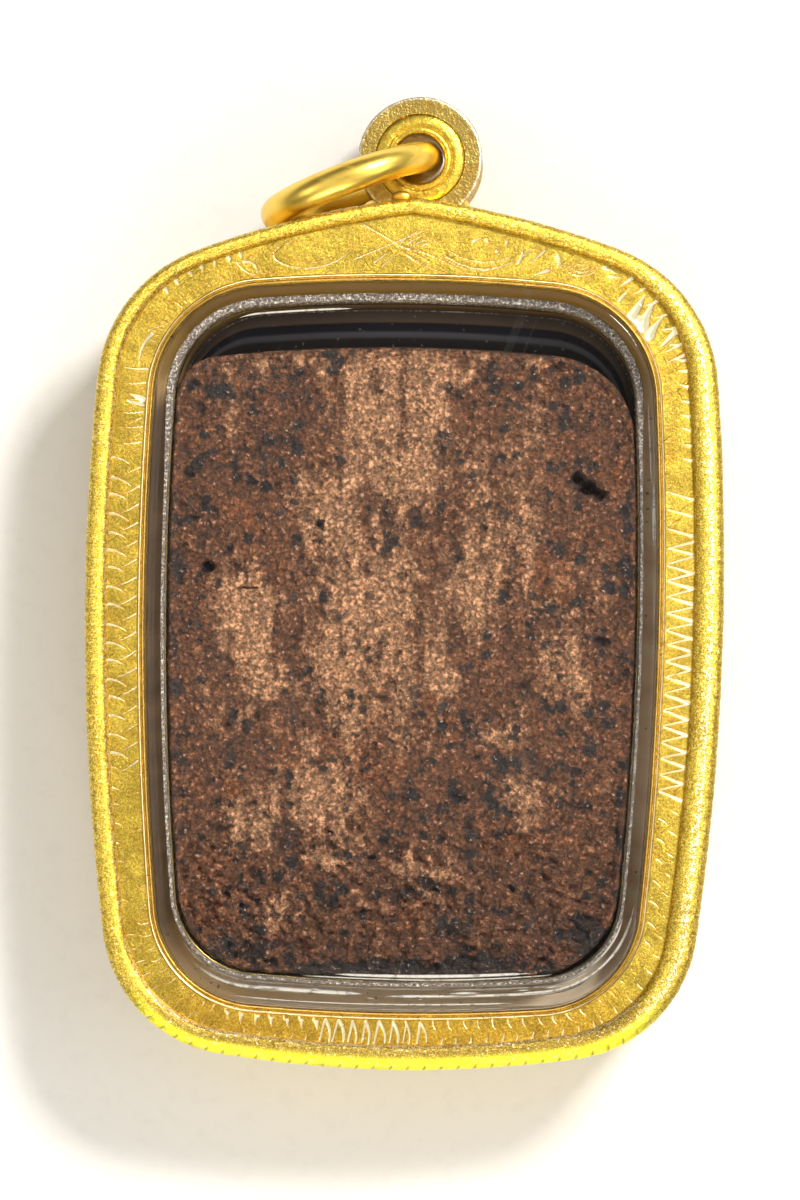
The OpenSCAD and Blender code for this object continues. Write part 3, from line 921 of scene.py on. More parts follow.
def make_loop():
    """The loop: a waisted disc with a rounded collar on each face."""
    loop = sizes()["loop"]
    half = loop.disc_length / 2
    roll = loop.collar / 2
    bevel = 0.1 * MM
    ring_x = loop.bore_radius + roll
    collar_rows = []
    for a in np.linspace(0, math.pi, 27):
        grooved = 1 - 0.4 * bell(a, 1.15, 0.2)
        up = half - COLLAR_SINK + COLLAR_HEIGHT * math.sin(a) * grooved
        collar_rows.append((ring_x - roll * math.cos(a), up))
    profile = list(collar_rows)
    face = (ring_x + roll, ring_x + roll + 0.06 * MM, loop.disc_radius - 2 * bevel)
    profile += [(x, half) for x in face]
    profile += round_corner(loop.disc_radius - bevel, half - bevel, bevel, 90, 0, 5)
    profile += [(loop.disc_radius - loop.waist * math.sin(a) ** 2, (half - bevel) * math.cos(a))
                for a in np.linspace(0, math.pi, 15)[1:-1]]
    profile += round_corner(loop.disc_radius - bevel, bevel - half, bevel, 0, -90, 5)
    profile += [(x, -half) for x in reversed(face)]
    profile += [(x, -y) for x, y in reversed(collar_rows)]
    bm = spun(profile, loop_centre(), (0, 0, 1), 160, (1, 0, 0))
    collar = bm.verts.layers.float.new("collar")
    rim = bm.verts.layers.float.new("rim")
    for vert in bm.verts:
        reach = (vert.co - loop_centre()).xy.length
        vert[collar] = float(reach < ring_x + roll + 0.03 * MM)
        # The rim mark is a painted highlight round the edge of each face
        by_face = abs(vert.co.z - MIDDLE_Z) > half - 1.5 * bevel
        vert[rim] = float(by_face and reach > loop.disc_radius - 1.2 * bevel)
    wobble(bm, 1.6 * MM, 0.03 * MM, 4.0)
    return piece("hanging_loop", bm, CASE, satin_gold(), "case_band", sharp=50)


def wobble(bm, scale, amount, seed):
    """Moves each vertex along its normal by smooth noise, so that the form isn't a machine's."""
    places = [v.co.copy() for v in bm.verts]
    shift = ripple(places, scale, seed) * amount
    bm.normal_update()
    for vert, far in zip(bm.verts, shift):
        vert.co += vert.normal * far


# Lumps of solder: place across, along and up from the loop's middle, and half sizes, in millimetres.
# The foot is a block, with whole sizes.
SOLDER = (
    (0, -2.6, 0, 2.3, 0.75, 1.15), (-1.2, -2.1, 0.9, 0.75, 0.45, 0.45),
    (1.9, -2.35, 0.2, 0.8, 0.5, 0.9), (-2.2, -2.5, -0.1, 0.9, 0.5, 0.9),
    (0.4, -2.2, 1.1, 0.9, 0.4, 0.35), (0.2, -2.2, -1.1, 1.1, 0.4, 0.4),
    (2.55, -2.8, 0.4, 0.7, 0.4, 0.7), (-0.95, -2.05, 1.72, 0.6, 0.36, 0.34),
    (-3.3, -2.8, 0.9, 0.75, 0.3, 0.4),
)
SOLDER_FOOT = (0, -2.7, 0, 4.4, 1.2, 2.3)


def make_solder():
    """The solder that ran between the loop and the wall, fused from lumps."""
    bm = bmesh.new()
    centre = loop_centre()
    for lump in (*SOLDER, SOLDER_FOOT):
        if lump is SOLDER_FOOT:
            verts = bmesh.ops.create_cube(bm, size=1)["verts"]
        else:
            verts = bmesh.ops.create_icosphere(bm, subdivisions=3, radius=1)["verts"]
        bmesh.ops.scale(bm, vec=Vector(lump[3:]) * MM, verts=verts)
        bmesh.ops.translate(bm, vec=centre + Vector(lump[:3]) * MM, verts=verts)
    made = piece("solder", bm, CASE, polished_gold(), "case_band")
    fuse = made.modifiers.new("Fuse", "REMESH")
    fuse.mode = "VOXEL"
    fuse.voxel_size = 0.07 * MM
    soften = made.modifiers.new("Soften", "SMOOTH")
    soften.iterations = 14
    soften.factor = 0.6
    apply_modifiers(made)
    made.data.shade_smooth()
    return made


def apply_modifiers(made):
    """Bakes an object's modifiers into its mesh."""
    graph = bpy.context.evaluated_depsgraph_get()
    mesh = bpy.data.meshes.new_from_object(made.evaluated_get(graph))
    made.modifiers.clear()
    old = made.data
    made.data = mesh
    bpy.data.meshes.remove(old)


def make_ring():
    """The jump ring, a round wire with the faint bulge of its soldered joint."""
    loop = sizes()["loop"]
    low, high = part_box("jump_ring")
    heading = Vector((math.cos(loop.ring_turn), math.sin(loop.ring_turn), 0))
    centre = loop_centre() + heading * (loop.ring_radius - loop.ring_play)
    centre.z = (low.z + high.z) / 2
    axis = heading.cross(Vector((0, 0, 1)))
    profile = round_corner(loop.ring_radius, 0, loop.wire_radius, 0, 360, 41)[:-1]
    bm = spun(profile, centre, axis, 180, heading)
    joint = centre + Vector((0, 0, -1)) * loop.ring_radius
    bulge = 0.02 * MM
    for vert in bm.verts:
        near = (vert.co - joint).length / (1.2 * MM)
        if near < 1.5:
            vert.co += (vert.co - joint).normalized() * bulge * math.exp(-near * near)
    wobble(bm, 2.4 * MM, 0.012 * MM, 6.0)
    return piece("ring_wire", bm, RING, polished_gold(), "jump_ring")


# The clear case
PANEL_BEVEL = 0.16 * MM
# Extra rings on the flat of the panel, inside its bevel
PANEL_RINGS = (2.4 * MM, 0.4 * MM)
# How far under the tablet's edge the sheet of painted shade runs out
FILM_REACH = 1.4 * MM


def make_cover(side):
    """Half of the clear case: a panel that fills the window, a flange under the plate and a wall.
    The lower half carries an opaque sheet of painted light: in the wall it is painted light with a
    painted reflection of the gold, and in the hollow it is painted shade with faint painted highlight
    arcs."""
    case = sizes()["case"]
    finish = sizes()["finish"]
    frame_edge = frame_arcs()
    counts = counts_along(frame_edge, 0.35 * MM)
    window = facing(window_arcs())
    hollow = facing(hollow_arcs())
    tablet = facing(tablet_arcs())
    bevel = PANEL_BEVEL
    roof = case.panel_drop + case.panel_thickness
    meet = MIDDLE_Z - case.gap / 2
    rows = []

    def ring(line, depth, film=0.0, tint=finish.painted_wall_light):
        colours = tint if np.ndim(tint) == 2 else np.tile((*tint, 1.0), (len(line), 1))
        rows.append((placed(level(line, depth), side), np.full(len(line), film), colours))

    def along(arcs, inset):
        return stations(arcs, counts, inset)

    for inset in PANEL_RINGS:
        ring(along(window, case.gap + bevel + inset), case.panel_drop)
    for x, y in round_corner(0, 0, bevel, 90, 0, 6):
        ring(along(window, case.gap + bevel - x), case.panel_drop + bevel - y)
    ring(along(window, case.gap), case.flange_drop)
    ring(along(frame_edge, case.outer_inset + bevel), case.flange_drop)
    ring(along(frame_edge, case.outer_inset), case.flange_drop + bevel)
    # Only the front half carries the sheet of painted light and shade
    film = 1.0 if side == "front" else 0.0
    painted_wall_light = wall_tint(stations(window, counts), finish)
    for line in (along(frame_edge, case.outer_inset), along(window, 0.2 * MM), along(hollow, 0)):
        ring(line, meet, film, painted_wall_light)
    for x, y in round_corner(0, 0, case.fillet, 0, 90, 5):
        ring(along(hollow, case.fillet - x), roof + case.fillet - y, film, SHADE_AND_HIGHLIGHT_ARCS[0][1:])
    edge, middle = along(hollow, case.fillet), along(tablet, FILM_REACH)
    for t, *tint in SHADE_AND_HIGHLIGHT_ARCS:
        ring(edge + (middle - edge) * t, roof, film if t < 1 else 0.0, tint)
    places, films, tints = zip(*rows)
    bm = skin(places, closed=False, film=films, tint=tints)
    return piece(side + "_clear", bm, CASE, clear_acrylic(), side + "_cover", sharp=30)


# Painted shade in the hollow round the tablet, dark with faint painted highlight arcs: how far in from
# the hollow's edge, and the colour that shows
SHADE_AND_HIGHLIGHT_ARCS = (
    (0.0, 0.11, 0.08, 0.06), (0.13, 0.2, 0.15, 0.11), (0.145, 0.18, 0.085, 0.055),
    (0.16, 0.02, 0.02, 0.03), (0.26, 0.025, 0.027, 0.042), (0.3, 0.19, 0.19, 0.24),
    (0.35, 0.17, 0.17, 0.2), (0.39, 0.035, 0.032, 0.036), (0.5, 0.025, 0.022, 0.022),
    (0.53, 0.26, 0.2, 0.17), (0.59, 0.2, 0.15, 0.12), (0.62, 0.02, 0.02, 0.02),
    (0.8, 0.02, 0.02, 0.02), (1.0, 0.02, 0.02, 0.02),
)


def wall_tint(spots, finish):
    """The painted light in the clear wall at each place, as a colour: dim on the left, paler on the
    right, a painted reflection of the gold along the top and pale painted light along the bottom."""
    height = (spots.imag - middle_y()) / MM
    # Shares of the pale painted light along the bottom and of the painted reflection of the gold along
    # the top
    silver = smooth_step(-height, 15.5, 19)[:, None]
    golden = smooth_step(height, 10, 16)[:, None]
    blotches = 1 + 0.3 * ripple(level(spots, 0.0), 0.9 * MM, 4.0, 2)
    # Painted light: the wall's colour is brightened from left to right, with soft blotches
    side = (np.interp(spots.real / MM, (-12, 12), (1.25, 2.7)) * blotches)[:, None]
    painted_wall_light = np.minimum(np.array(finish.painted_wall_light) * side, 0.95)
    tint = golden * np.array(finish.painted_gold_reflection) + (1 - golden) * painted_wall_light
    tint = silver * np.array(finish.painted_bottom_light) + (1 - silver) * tint
    return np.column_stack([tint, np.ones(len(spots))])


# The seam's section: share of its width and share of its height below its crest
SEAM_SECTION = ((0, 1), (0.04, 0.25), *((0.15 * k, 0) for k in range(1, 7)), (0.96, 0.25), (1, 1))


def make_seam(side):
    """The frosted seam where the panel is let into the wall, a grainy ledge round the hollow."""
    case = sizes()["case"]
    arcs = hollow_arcs()
    counts = counts_along(arcs, 0.07 * MM)
    top = case.panel_drop + case.panel_thickness * 0.85
    upper = smooth_step((stations(arcs, counts).imag - middle_y()) / MM, 7, 14.5)
    reach = case.seam_reach * upper
    width = case.seam_width * (1 - upper) + case.seam_top_width * upper
    rows = []
    for across, down in SEAM_SECTION:
        line = stations_moved(arcs, counts, 0, reach - across * width)
        row = level(line, top + down * case.seam_height)
        row[:, 2] += 0.05 * MM * np.abs(ripple(row, 0.13 * MM, 7.0)) * (down < 1)
        rows.append(placed(row, side))
    bm = skin(rows)
    return piece(side + "_seam", bm, CASE, frosted_seam(), side + "_cover")


# Dried glue: distance outside the hollow, depth under the panel and half its thickness in
# millimetres, then where round the outline it begins and ends, as shares
GLUE = (
    (-0.36, 0.05, 0.06, 0.845, 0.94), (-0.18, 0.1, 0.03, 0.83, 0.95), (0.14, 0.2, 0.03, 0.8, 0.96),
    (0.55, 0.2, 0.1, 0.81, 0.822), (0.5, 0.2, 0.12, 0.835, 0.84), (0.6, 0.2, 0.08, 0.9, 0.915),
    (0.55, 0.2, 0.12, 0.932, 0.938), (0.45, 0.2, 0.09, 0.945, 0.952), (0.7, 0.3, 0.035, 0.1, 0.15),
    (0.75, 0.25, 0.05, 0.17, 0.2), (0.6, 0.3, 0.03, 0.2, 0.24), (0.3, 0.3, 0.03, 0.8, 0.9),
    (1.15, 0.3, 0.03, 0.8, 0.93), (0.66, 0.45, 0.1, 0.78, 0.86), (0.72, 0.45, 0.09, 0.87, 0.965),
    (0.3, 0.4, 0.05, 0.77, 0.83), (0.36, 0.4, 0.04, 0.9, 0.97), (0.22, 0.1, 0.05, 0.95, 0.995),
    (0.62, 0.1, 0.06, 0.93, 1.0), (-0.42, 0.1, 0.05, 0.4, 0.457), (0.85, 0.3, 0.13, 0.79, 0.793),
    (0.8, 0.3, 0.14, 0.862, 0.866), (0.85, 0.3, 0.12, 0.885, 0.888),
)


# A glue line's sides, the steps over which it tapers and half the thickness of its tip
GLUE_SIDES = 6
GLUE_TAPER = 7
GLUE_TIP = 0.004


def make_glue():
    """Thin wavering lines of dried glue inside the wall, mostly along the bottom."""
    case = sizes()["case"]
    arcs = hollow_arcs()
    counts = counts_along(arcs, 0.12 * MM)
    roof = case.panel_drop + case.panel_thickness
    bm = bmesh.new()
    total = sum(counts)
    for n, (out, down, thick, begin, end) in enumerate(GLUE):
        wave = np.array([noise.noise(Vector((i * 0.011, n * 3.7, 0))) for i in range(total)])
        line = stations_moved(arcs, counts, -out * MM, wave * 0.12 * MM)
        path = level(line, BACK_Z - roof - down * MM)[int(begin * total):int(end * total)]
        ring = bmesh.ops.create_circle(bm, segments=GLUE_SIDES, radius=1)["verts"]
        last = len(path) - 1
        for i, here in enumerate(path):
            if i:
                ring = extruded(bm, ring)
            taper = min(1, i / GLUE_TAPER, (last - i) / GLUE_TAPER)
            size = (thick * taper * (1 + wave[i]) + GLUE_TIP) * MM
            ahead = Vector(path[min(i + 1, last)]) - Vector(path[max(i - 1, 0)])
            side_way = Vector((ahead.y, -ahead.x, 0)).normalized()
            for k, vert in enumerate(ring):
                a = FULL_TURN * k / GLUE_SIDES
                round_way = side_way * math.cos(a) + Vector((0, 0, 1)) * math.sin(a)
                vert.co = Vector(here) + round_way * size
    bmesh.ops.holes_fill(bm, edges=[e for e in bm.edges if e.is_boundary])
    bmesh.ops.recalc_face_normals(bm, faces=bm.faces)
    return piece("glue_lines", bm, CASE, dried_glue(), "back_cover")


# The tablet: its worn edges keep only a share of the roughness
EDGE_WEAR = 0.2
# Heights between which the clay turns crumbly, from firm to loose
CRUMBLY = (-6, -16)
# Rings down the tablet's side
SIDE_LEVELS = 11
# The front is worked more coarsely than the back, by this factor
FRONT_STEP = 3


class Stain(NamedTuple):
    """A soft oval: its middle, half its width and height, and its strength."""
    x: float
    y: float
    wide: float
    tall: float
    strength: float


# Stains and pits as the picture shows them, in millimetres from the middle line
# The four wide rows at y = -16 and lower paint the shade along the tablet's bottom edge
DARK = [Stain(*row) for row in (
    (-3.7, 14.5, 0.7, 0.6, 0.8), (4.6, 13.5, 1.0, 0.7, 1.0), (-10, 13.2, 1.2, 1.1, 0.6),
    (-4.8, 12.7, 1.6, 1.3, 0.55), (-10.6, 9.6, 1.0, 0.5, 0.9), (-6, 10.9, 2.2, 1.9, 0.45),
    (8.8, 11.8, 2.2, 1.6, 0.45), (2.1, 10.4, 0.5, 0.6, 0.6), (-0.9, 5.2, 1.0, 0.8, 0.7),
    (-2.5, 8.1, 0.8, 0.6, 0.4), (-4.6, 6, 0.22, 0.25, 1.2), (8.2, 4.7, 0.6, 0.5, 0.7),
    (6.4, 2.9, 0.8, 0.5, 0.5), (8.5, 1.9, 1.2, 0.5, 0.6), (7.2, 0.7, 0.7, 0.6, 0.5),
    (10.5, 0, 0.9, 0.6, 0.6), (-12.1, 4, 0.7, 6, 0.6), (11.9, 6, 0.5, 4.5, 0.6),
    (-4.5, -3, 0.25, 0.5, 0.8), (0.7, -4, 0.25, 0.25, 1), (3.2, -1.6, 0.3, 0.4, 0.9),
    (5.1, -6.6, 0.6, 0.6, 0.8), (8, -7, 0.7, 0.5, 0.8), (3.2, -4.5, 0.4, 0.6, 0.7),
    (2.5, -5.8, 0.4, 1, 0.6), (2.6, -8.4, 0.9, 0.6, 0.7), (4.9, -9.3, 0.7, 0.5, 0.8),
    (-0.1, -8.2, 0.4, 0.5, 0.6), (-1.2, -10.6, 0.3, 0.35, 1), (-1.7, -11.7, 0.6, 0.3, 0.8),
    (-4.8, -12.3, 0.5, 0.4, 0.7), (-3.4, -13.8, 0.6, 0.6, 0.7), (1.1, -13.2, 0.7, 0.5, 0.7),
    (-8.9, -11.2, 0.6, 0.4, 0.6), (-6.8, -12.8, 0.5, 0.4, 0.7), (-7.8, -7, 0.35, 0.35, 0.7),
    (3.7, -11.9, 0.5, 0.5, 0.6), (8.7, -10.9, 0.5, 0.7, 0.6), (9.7, -5.8, 0.9, 1.1, 0.5),
    (-0.3, -17.8, 9, 0.8, 1.0), (10.2, -16, 2.4, 1.5, 0.8), (2.7, -15.7, 2.1, 0.8, 0.6),
    (-8.5, 10.5, 4.5, 4.5, 0.3), (10.8, -2, 2.2, 9, 0.28), (-12, -2, 0.9, 14, 0.5),
    (6, -8, 5, 5, 0.3), (-8.5, -17, 4, 1.2, 0.6), (-10.8, 4.5, 2.2, 6, 0.3),
    (-10.2, -5, 1.6, 4, 0.2), (1.5, -18.3, 8, 0.45, 1.6),
)]
PALE = [Stain(*row) for row in (
    (-1.8, 11.4, 1.4, 4.2, 0.6), (0.6, 10, 1.5, 4, 0.5), (2.9, 13.9, 0.9, 0.9, 0.9),
    (-3.9, 7.2, 1.3, 1.8, 0.7), (-2.3, 9.4, 0.4, 0.5, 0.8), (-1.8, 2.2, 2.2, 3.6, 0.7),
    (-3.2, -1, 1.8, 3, 0.6), (3.6, 3.4, 1.8, 3.6, 0.6), (-8.2, 0.6, 1.9, 3, 0.75),
    (-7.4, -2.4, 1.0, 1.0, 1), (-9.6, 2.4, 0.6, 2.5, 0.5), (1.6, -0.6, 1.2, 2, 0.6),
    (2, -2.4, 0.9, 0.65, 2.2), (-4.8, -8.6, 2.3, 1.9, 0.6), (-7.8, -9.9, 2.1, 1.5, 0.6),
    (-4.6, -11.7, 0.8, 0.6, 0.9), (0.6, -12.2, 1.3, 0.7, 0.6), (6.7, -8.6, 1.8, 1.3, 0.5),
    (4.7, -5.4, 1.0, 0.6, 0.6), (8.6, -1.5, 1.6, 2.2, 0.4), (-1, 3, 4.5, 10, 0.42),
    (-5, -3, 5, 6, 0.32), (5, 6, 4, 5, 0.3), (-0.5, 14.6, 8, 0.5, 0.5), (-7, -14.6, 2, 1, 0.3),
)]
RED = [Stain(*row) for row in (
    (7.7, 14.4, 1.4, 0.4, 0.8), (11.3, 8.8, 0.5, 0.5, 0.9), (8, 3.2, 1, 1.3, 0.7),
    (1.8, -4.3, 0.8, 1.6, 1), (-8.1, 4.5, 2.1, 2.1, 0.3), (-9.7, 6.8, 2.1, 1.6, 0.3),
    (-3.2, -7.2, 3.2, 2.1, 0.5), (-9.3, -8.2, 0.6, 0.5, 0.9), (5.9, -10.9, 2.1, 1.1, 0.5),
    (-9.7, -14.2, 1.6, 1.1, 0.6),
)]
PITS = [Stain(*row) for row in (
    (9.3, 8.4, 0.45, 0.4, 0.9), (9.9, 7.9, 0.6, 0.42, 1.2), (10.4, 7.5, 0.4, 0.35, 0.8),
    (-10.5, 3.7, 0.45, 0.42, 0.7), (-4.6, 6, 0.2, 0.22, 0.35), (-8.3, 2.6, 0.7, 0.12, 0.3),
    (-10.9, 12.2, 0.4, 0.5, 0.3), (10.6, -0.3, 0.5, 0.3, 0.35), (2.2, -2.2, 0.9, 0.55, 0.16),
    (2.9, -8.6, 0.5, 0.35, 0.3), (-1.6, -11.8, 0.45, 0.22, 0.35), (1.3, -13.4, 0.5, 0.3, 0.35),
    (-11.4, 8.6, 0.5, 0.18, 0.3), (-11.2, 6.4, 0.45, 0.16, 0.3),
)]


def painted(x, y, stains):
    """How strongly each place is stained, from places in millimetres."""
    total = np.zeros(len(x))
    for s in stains:
        away = ((x - s.x) / s.wide) ** 2 + ((y - s.y) / s.tall) ** 2
        total = np.maximum(total, s.strength * np.exp(-away))
    return total


# The seated figure, as the plain solid has it: x, y, half its width and half its height as shares
# of the tablet's half width and height, and its share of the relief
FIGURE = (
    (0, 0.27, 0.13, 0.078, 1), (0, 0.36, 0.07, 0.06, 0.9), (0, 0.08, 0.24, 0.17, 0.9),
    (-0.27, 0.02, 0.09, 0.18, 0.8), (0.27, 0.02, 0.09, 0.18, 0.8), (0, -0.14, 0.3, 0.05, 0.95),
    (-0.26, -0.22, 0.3, 0.07, 1), (0.26, -0.22, 0.3, 0.07, 1), (0, -0.36, 0.66, 0.05, 0.7),
)


def relief(x, y):
    """Height of the figure at each place, as a share of the relief."""
    tablet = sizes()["tablet"]
    window = sizes()["window"]
    across = (x - window.shift) / (window.half_width - sizes()["case"].side_width - tablet.gap)
    up = (y - middle_y()) / tablet.height
    height = np.zeros(len(x))
    for fx, fy, wide, tall, high in FIGURE:
        inside = 1 - ((across - fx) / wide) ** 2 - ((up - fy) / tall) ** 2
        height = np.maximum(height, high * np.sqrt(np.clip(inside, 0, 1)))
    return height


class Spread:
    """Lays a square grid over the tablet's outline: square in the middle and following the edge."""

    def __init__(self):
        arcs = tablet_arcs()
        edge = stations(arcs, counts_along(arcs, 0.05 * MM))
        self.centre = complex(edge.real.min() + edge.real.max(), edge.imag.min() + edge.imag.max()) / 2
        self.half = complex(np.ptp(edge.real) / 2, np.ptp(edge.imag) / 2)
        polar = edge - self.centre
        order = np.argsort(np.angle(polar))
        self.angles = np.angle(polar)[order]
        self.radii = np.abs(polar)[order]

    def reach(self, angle):
        """How far the edge lies from the middle in a direction."""
        return np.interp(angle, self.angles, self.radii, period=FULL_TURN)

    def lay(self, u, v):
        """Places for grid coordinates from -1 to 1, and how far each lies inside the edge."""
        ring = np.maximum(np.abs(u), np.abs(v))
        plain = u * self.half.real + 1j * v * self.half.imag
        angle = np.angle(plain)
        follow = ring * self.reach(angle) * np.exp(1j * angle)
        blend = smooth_step(ring, 0.55, 0.95)
        place = plain * (1 - blend) + follow * blend
        return place + self.centre, self.reach(angle) * (1 - ring)


def roughness(places):
    """How deep the rough clay lies below its highest skin, crumbly in the lower third."""
    xyz = [Vector(p) for p in places]
    low = smooth_step(np.array([p.y for p in xyz]) - middle_y(), CRUMBLY[0] * MM, CRUMBLY[1] * MM)
    fine = np.abs(ripple(xyz, 0.3 * MM, 1.0))
    grains = ripple(xyz, 0.75 * MM, 2.0, 2)
    lumps = ripple(xyz, 2.6 * MM, 3.0)
    cells = np.array([noise.voronoi(p / (0.9 * MM))[0][0] for p in xyz])
    picks = np.clip(0.32 - cells, 0, 1) * smooth_step(ripple(xyz, 1.9 * MM, 9.0), 0.05, 0.35)
    knobs = ripple([Vector((p.x + 0.5 * p.y, p.y * 1.3, p.z)) for p in xyz], 0.6 * MM, 5.0, 2)
    deep = 0.2 * fine + (0.2 + 0.12 * low) * (grains + 0.6) + 0.2 * (lumps + 0.5) + 0.9 * picks
    deep = deep + (0.14 + 0.4 * low) * (knobs + 0.4)
    return np.clip(deep, 0, 0.8) * MM


def make_tablet():
    """The clay tablet: a finely worked back, worn edges and a plainer front with the figure."""
    size = sizes()["tablet"]
    case = sizes()["case"]
    spread = Spread()
    across = size.fine_cells
    along = round(across * spread.half.imag / spread.half.real)
    top = BACK_Z - case.panel_drop - case.panel_thickness - size.gap
    under = top - size.thickness
    bm = bmesh.new()
    tone = bm.verts.layers.float_color.new("tone")
    # How deep each place lies, which the clay's colour uses to paint shade in its recesses
    hollow = bm.verts.layers.float.new("hollow")

    bmesh.ops.create_grid(bm, x_segments=across, y_segments=along, size=1)
    back = list(bm.verts)
    inside = shaped_face(back, spread, top, -1, size.worn_edge)
    rim = ordered_rim(bm)
    front_edge = 0.6 * size.worn_edge
    for z in np.linspace(top - size.worn_edge, under + front_edge, SIDE_LEVELS)[1:]:
        rim = extruded(bm, rim)
        for vert in rim:
            vert.co.z = z
    faced = set(back)
    side_verts = [v for v in bm.verts if v not in faced]
    roughen(back + side_verts, inside, spread, hollow)

    front = bmesh.ops.create_grid(bm, x_segments=across // FRONT_STEP, y_segments=along // FRONT_STEP,
                                  size=1)["verts"]
    shaped_face(front, spread, under, 1, front_edge)
    raise_figure(front, size.relief)
    bmesh.ops.bridge_loops(bm, edges=[e for e in bm.edges if e.is_boundary])
    bmesh.ops.recalc_face_normals(bm, faces=bm.faces)
    stain(bm, tone)
    return piece("clay_tablet", bm, CASE, fired_clay(), "tablet", sharp=80)


def shaped_face(verts, spread, z, outward, worn):
    """Lays a flat grid over the tablet and rounds its worn edge.
    Returns how far inside the edge each vertex is."""
    grid = np.array([v.co.to_tuple() for v in verts])
    places, inside = spread.lay(grid[:, 0], grid[:, 1])
    fall = worn - np.sqrt(np.clip(worn**2 - np.clip(worn - inside, 0, None) ** 2, 0, None))
    for vert, place, drop in zip(verts, places, fall):
        vert.co = (place.real, place.imag, z + outward * drop)
    return inside


def ordered_rim(bm):
    """The boundary vertices of a face grid, in order round it."""
    start = next(v for v in bm.verts if v.is_boundary)
    rim = [start]
    seen = {start}
    while True:
        following = [e.other_vert(rim[-1]) for e in rim[-1].link_edges if e.is_boundary]
        fresh = [v for v in following if v not in seen]
        if not fresh:
            return rim
        rim.append(fresh[0])
        seen.add(fresh[0])


def roughen(verts, inside, spread, hollow):
    """Works the clay's roughness and its pits into the back and the sides."""
    places = [v.co.to_tuple() for v in verts]
    deep = roughness(places)
    x, y = in_picture(places)
    # Less depth, and so less painted shade, in the crumbly lower part
    ground = 0.24 * MM * smooth_step(y, *CRUMBLY)
    on_back = np.arange(len(verts)) < len(inside)
    for pit in PITS:
        warp = 0.35 * ripple(places, 0.5 * MM, pit.x)
        away = np.hypot((x - pit.x) / pit.wide, (y - pit.y) / pit.tall) + warp
        deep += pit.strength * MM * (1 - smooth_step(away, 0.45, 1.15)) * on_back
    sideways = np.ones(len(verts))
    sideways[on_back] = smooth_step(inside, 0.7 * MM, 0.1 * MM)
    for vert, depth, base, share_in in zip(verts, deep, ground, sideways):
        vert[hollow] = (depth - base) / (0.3 * MM)
        vert.co.z -= depth * (1 - share_in)
        inward = spread.centre - complex(vert.co.x, vert.co.y)
        inward *= depth * EDGE_WEAR * share_in / abs(inward)
        vert.co.x += inward.real
        vert.co.y += inward.imag


def raise_figure(verts, high):
    """Raises the seated figure out of the front, with a softly rough ground."""
    flat = np.array([v.co.to_tuple() for v in verts])
    height = relief(flat[:, 0], flat[:, 1])
    ground = 0.04 * MM * np.abs(ripple(flat.tolist(), 0.9 * MM, 12.0, 2))
    for vert, share_of_relief, rough in zip(verts, height, ground):
        vert.co.z += rough - high * share_of_relief


def stain(bm, tone):
    """Paints where the clay is pale, dark and red. The pale clay is drawn out into upright streaks."""
    places = [v.co.to_tuple() for v in bm.verts]
    x, y = in_picture(places)
    x = x + 0.5 * ripple(places, 1.1 * MM, 21.0, 2)
    y = y + 0.5 * ripple(places, 1.1 * MM, 33.0, 2)
    # The dark mark holds the dark spots and the painted shade along the bottom edge
    pale, dark, red = (painted(x, y, stains) for stains in (PALE, DARK, RED))
    # A pale upright band near the top, in the same millimetres
    in_band = smooth_step(y, 6.5, 8) * smooth_step(y, 15.6, 14.6)
    in_band = in_band * smooth_step(x, -3.5, -3.0) * smooth_step(x, 4, 1)
    pale = np.maximum(pale, 0.6 * in_band)
    streaks = ripple([(px, py * 0.14, pz) for px, py, pz in places], 0.6 * MM, 17.0, 2)
    pale = pale * np.clip(1 + 0.9 * streaks, 0.3, 1.5)
    for vert, *marks in zip(bm.verts, pale, dark, red):
        vert[tone] = (*marks, 1)


# Node trees
def add(tree, kind, inputs=None, **settings):
    """Adds a node, sets it up and feeds its inputs with numbers or with other nodes' outputs."""
    node = tree.nodes.new(kind)
    for name, value in settings.items():
        setattr(node, name, value)
    for key, value in (inputs or {}).items():
        feed(tree, node.inputs[key], value)
    return node


def feed(tree, socket, value):
    """Gives a socket a number, a colour, with or without its alpha, or another node's output."""
    if isinstance(value, bpy.types.NodeSocket):
        tree.links.new(value, socket)
    elif socket.type == "RGBA" and len(value) == 3:
        socket.default_value = (*value, 1.0)
    else:
        socket.default_value = value


def maths(tree, operation, *values):
    """The result of a Math node."""
    return add(tree, "ShaderNodeMath", dict(enumerate(values)), operation=operation).outputs[0]


def times(tree, a, b):
    """One value times another."""
    return maths(tree, "MULTIPLY", a, b)


def plus(tree, value, weight, rest):
    """A weighted value on top of another."""
    return maths(tree, "MULTIPLY_ADD", value, weight, rest)


def vector_maths(tree, operation, **inputs):
    """The result of a Vector Math node, whose inputs are a, b and scale."""
    keys = {{"a": 0, "b": 1, "scale": "Scale"}[name]: value for name, value in inputs.items()}
    return add(tree, "ShaderNodeVectorMath", keys, operation=operation).outputs[0]


def cloudy(tree, place, scale, detail=2.0, roughness=0.5):
    """A noise texture's two outputs, its value and its colour."""
    keys = {"Vector": place, "Scale": scale, "Detail": detail, "Roughness": roughness}
    return add(tree, "ShaderNodeTexNoise", keys).outputs


def blotched(tree, place, scale, detail):
    """Rough noise that varies about zero."""
    return maths(tree, "SUBTRACT", cloudy(tree, place, scale, detail, 0.7)[0], 0.5)


def larger(tree, a, b):
    """The larger of two values."""
    return maths(tree, "MAXIMUM", a, b)


def blended(tree, factor, a, b, mode="MIX"):
    """A colour between a and b."""
    keys = {0: factor, 6: a, 7: b}
    return add(tree, "ShaderNodeMix", keys, data_type="RGBA", blend_type=mode).outputs[2]


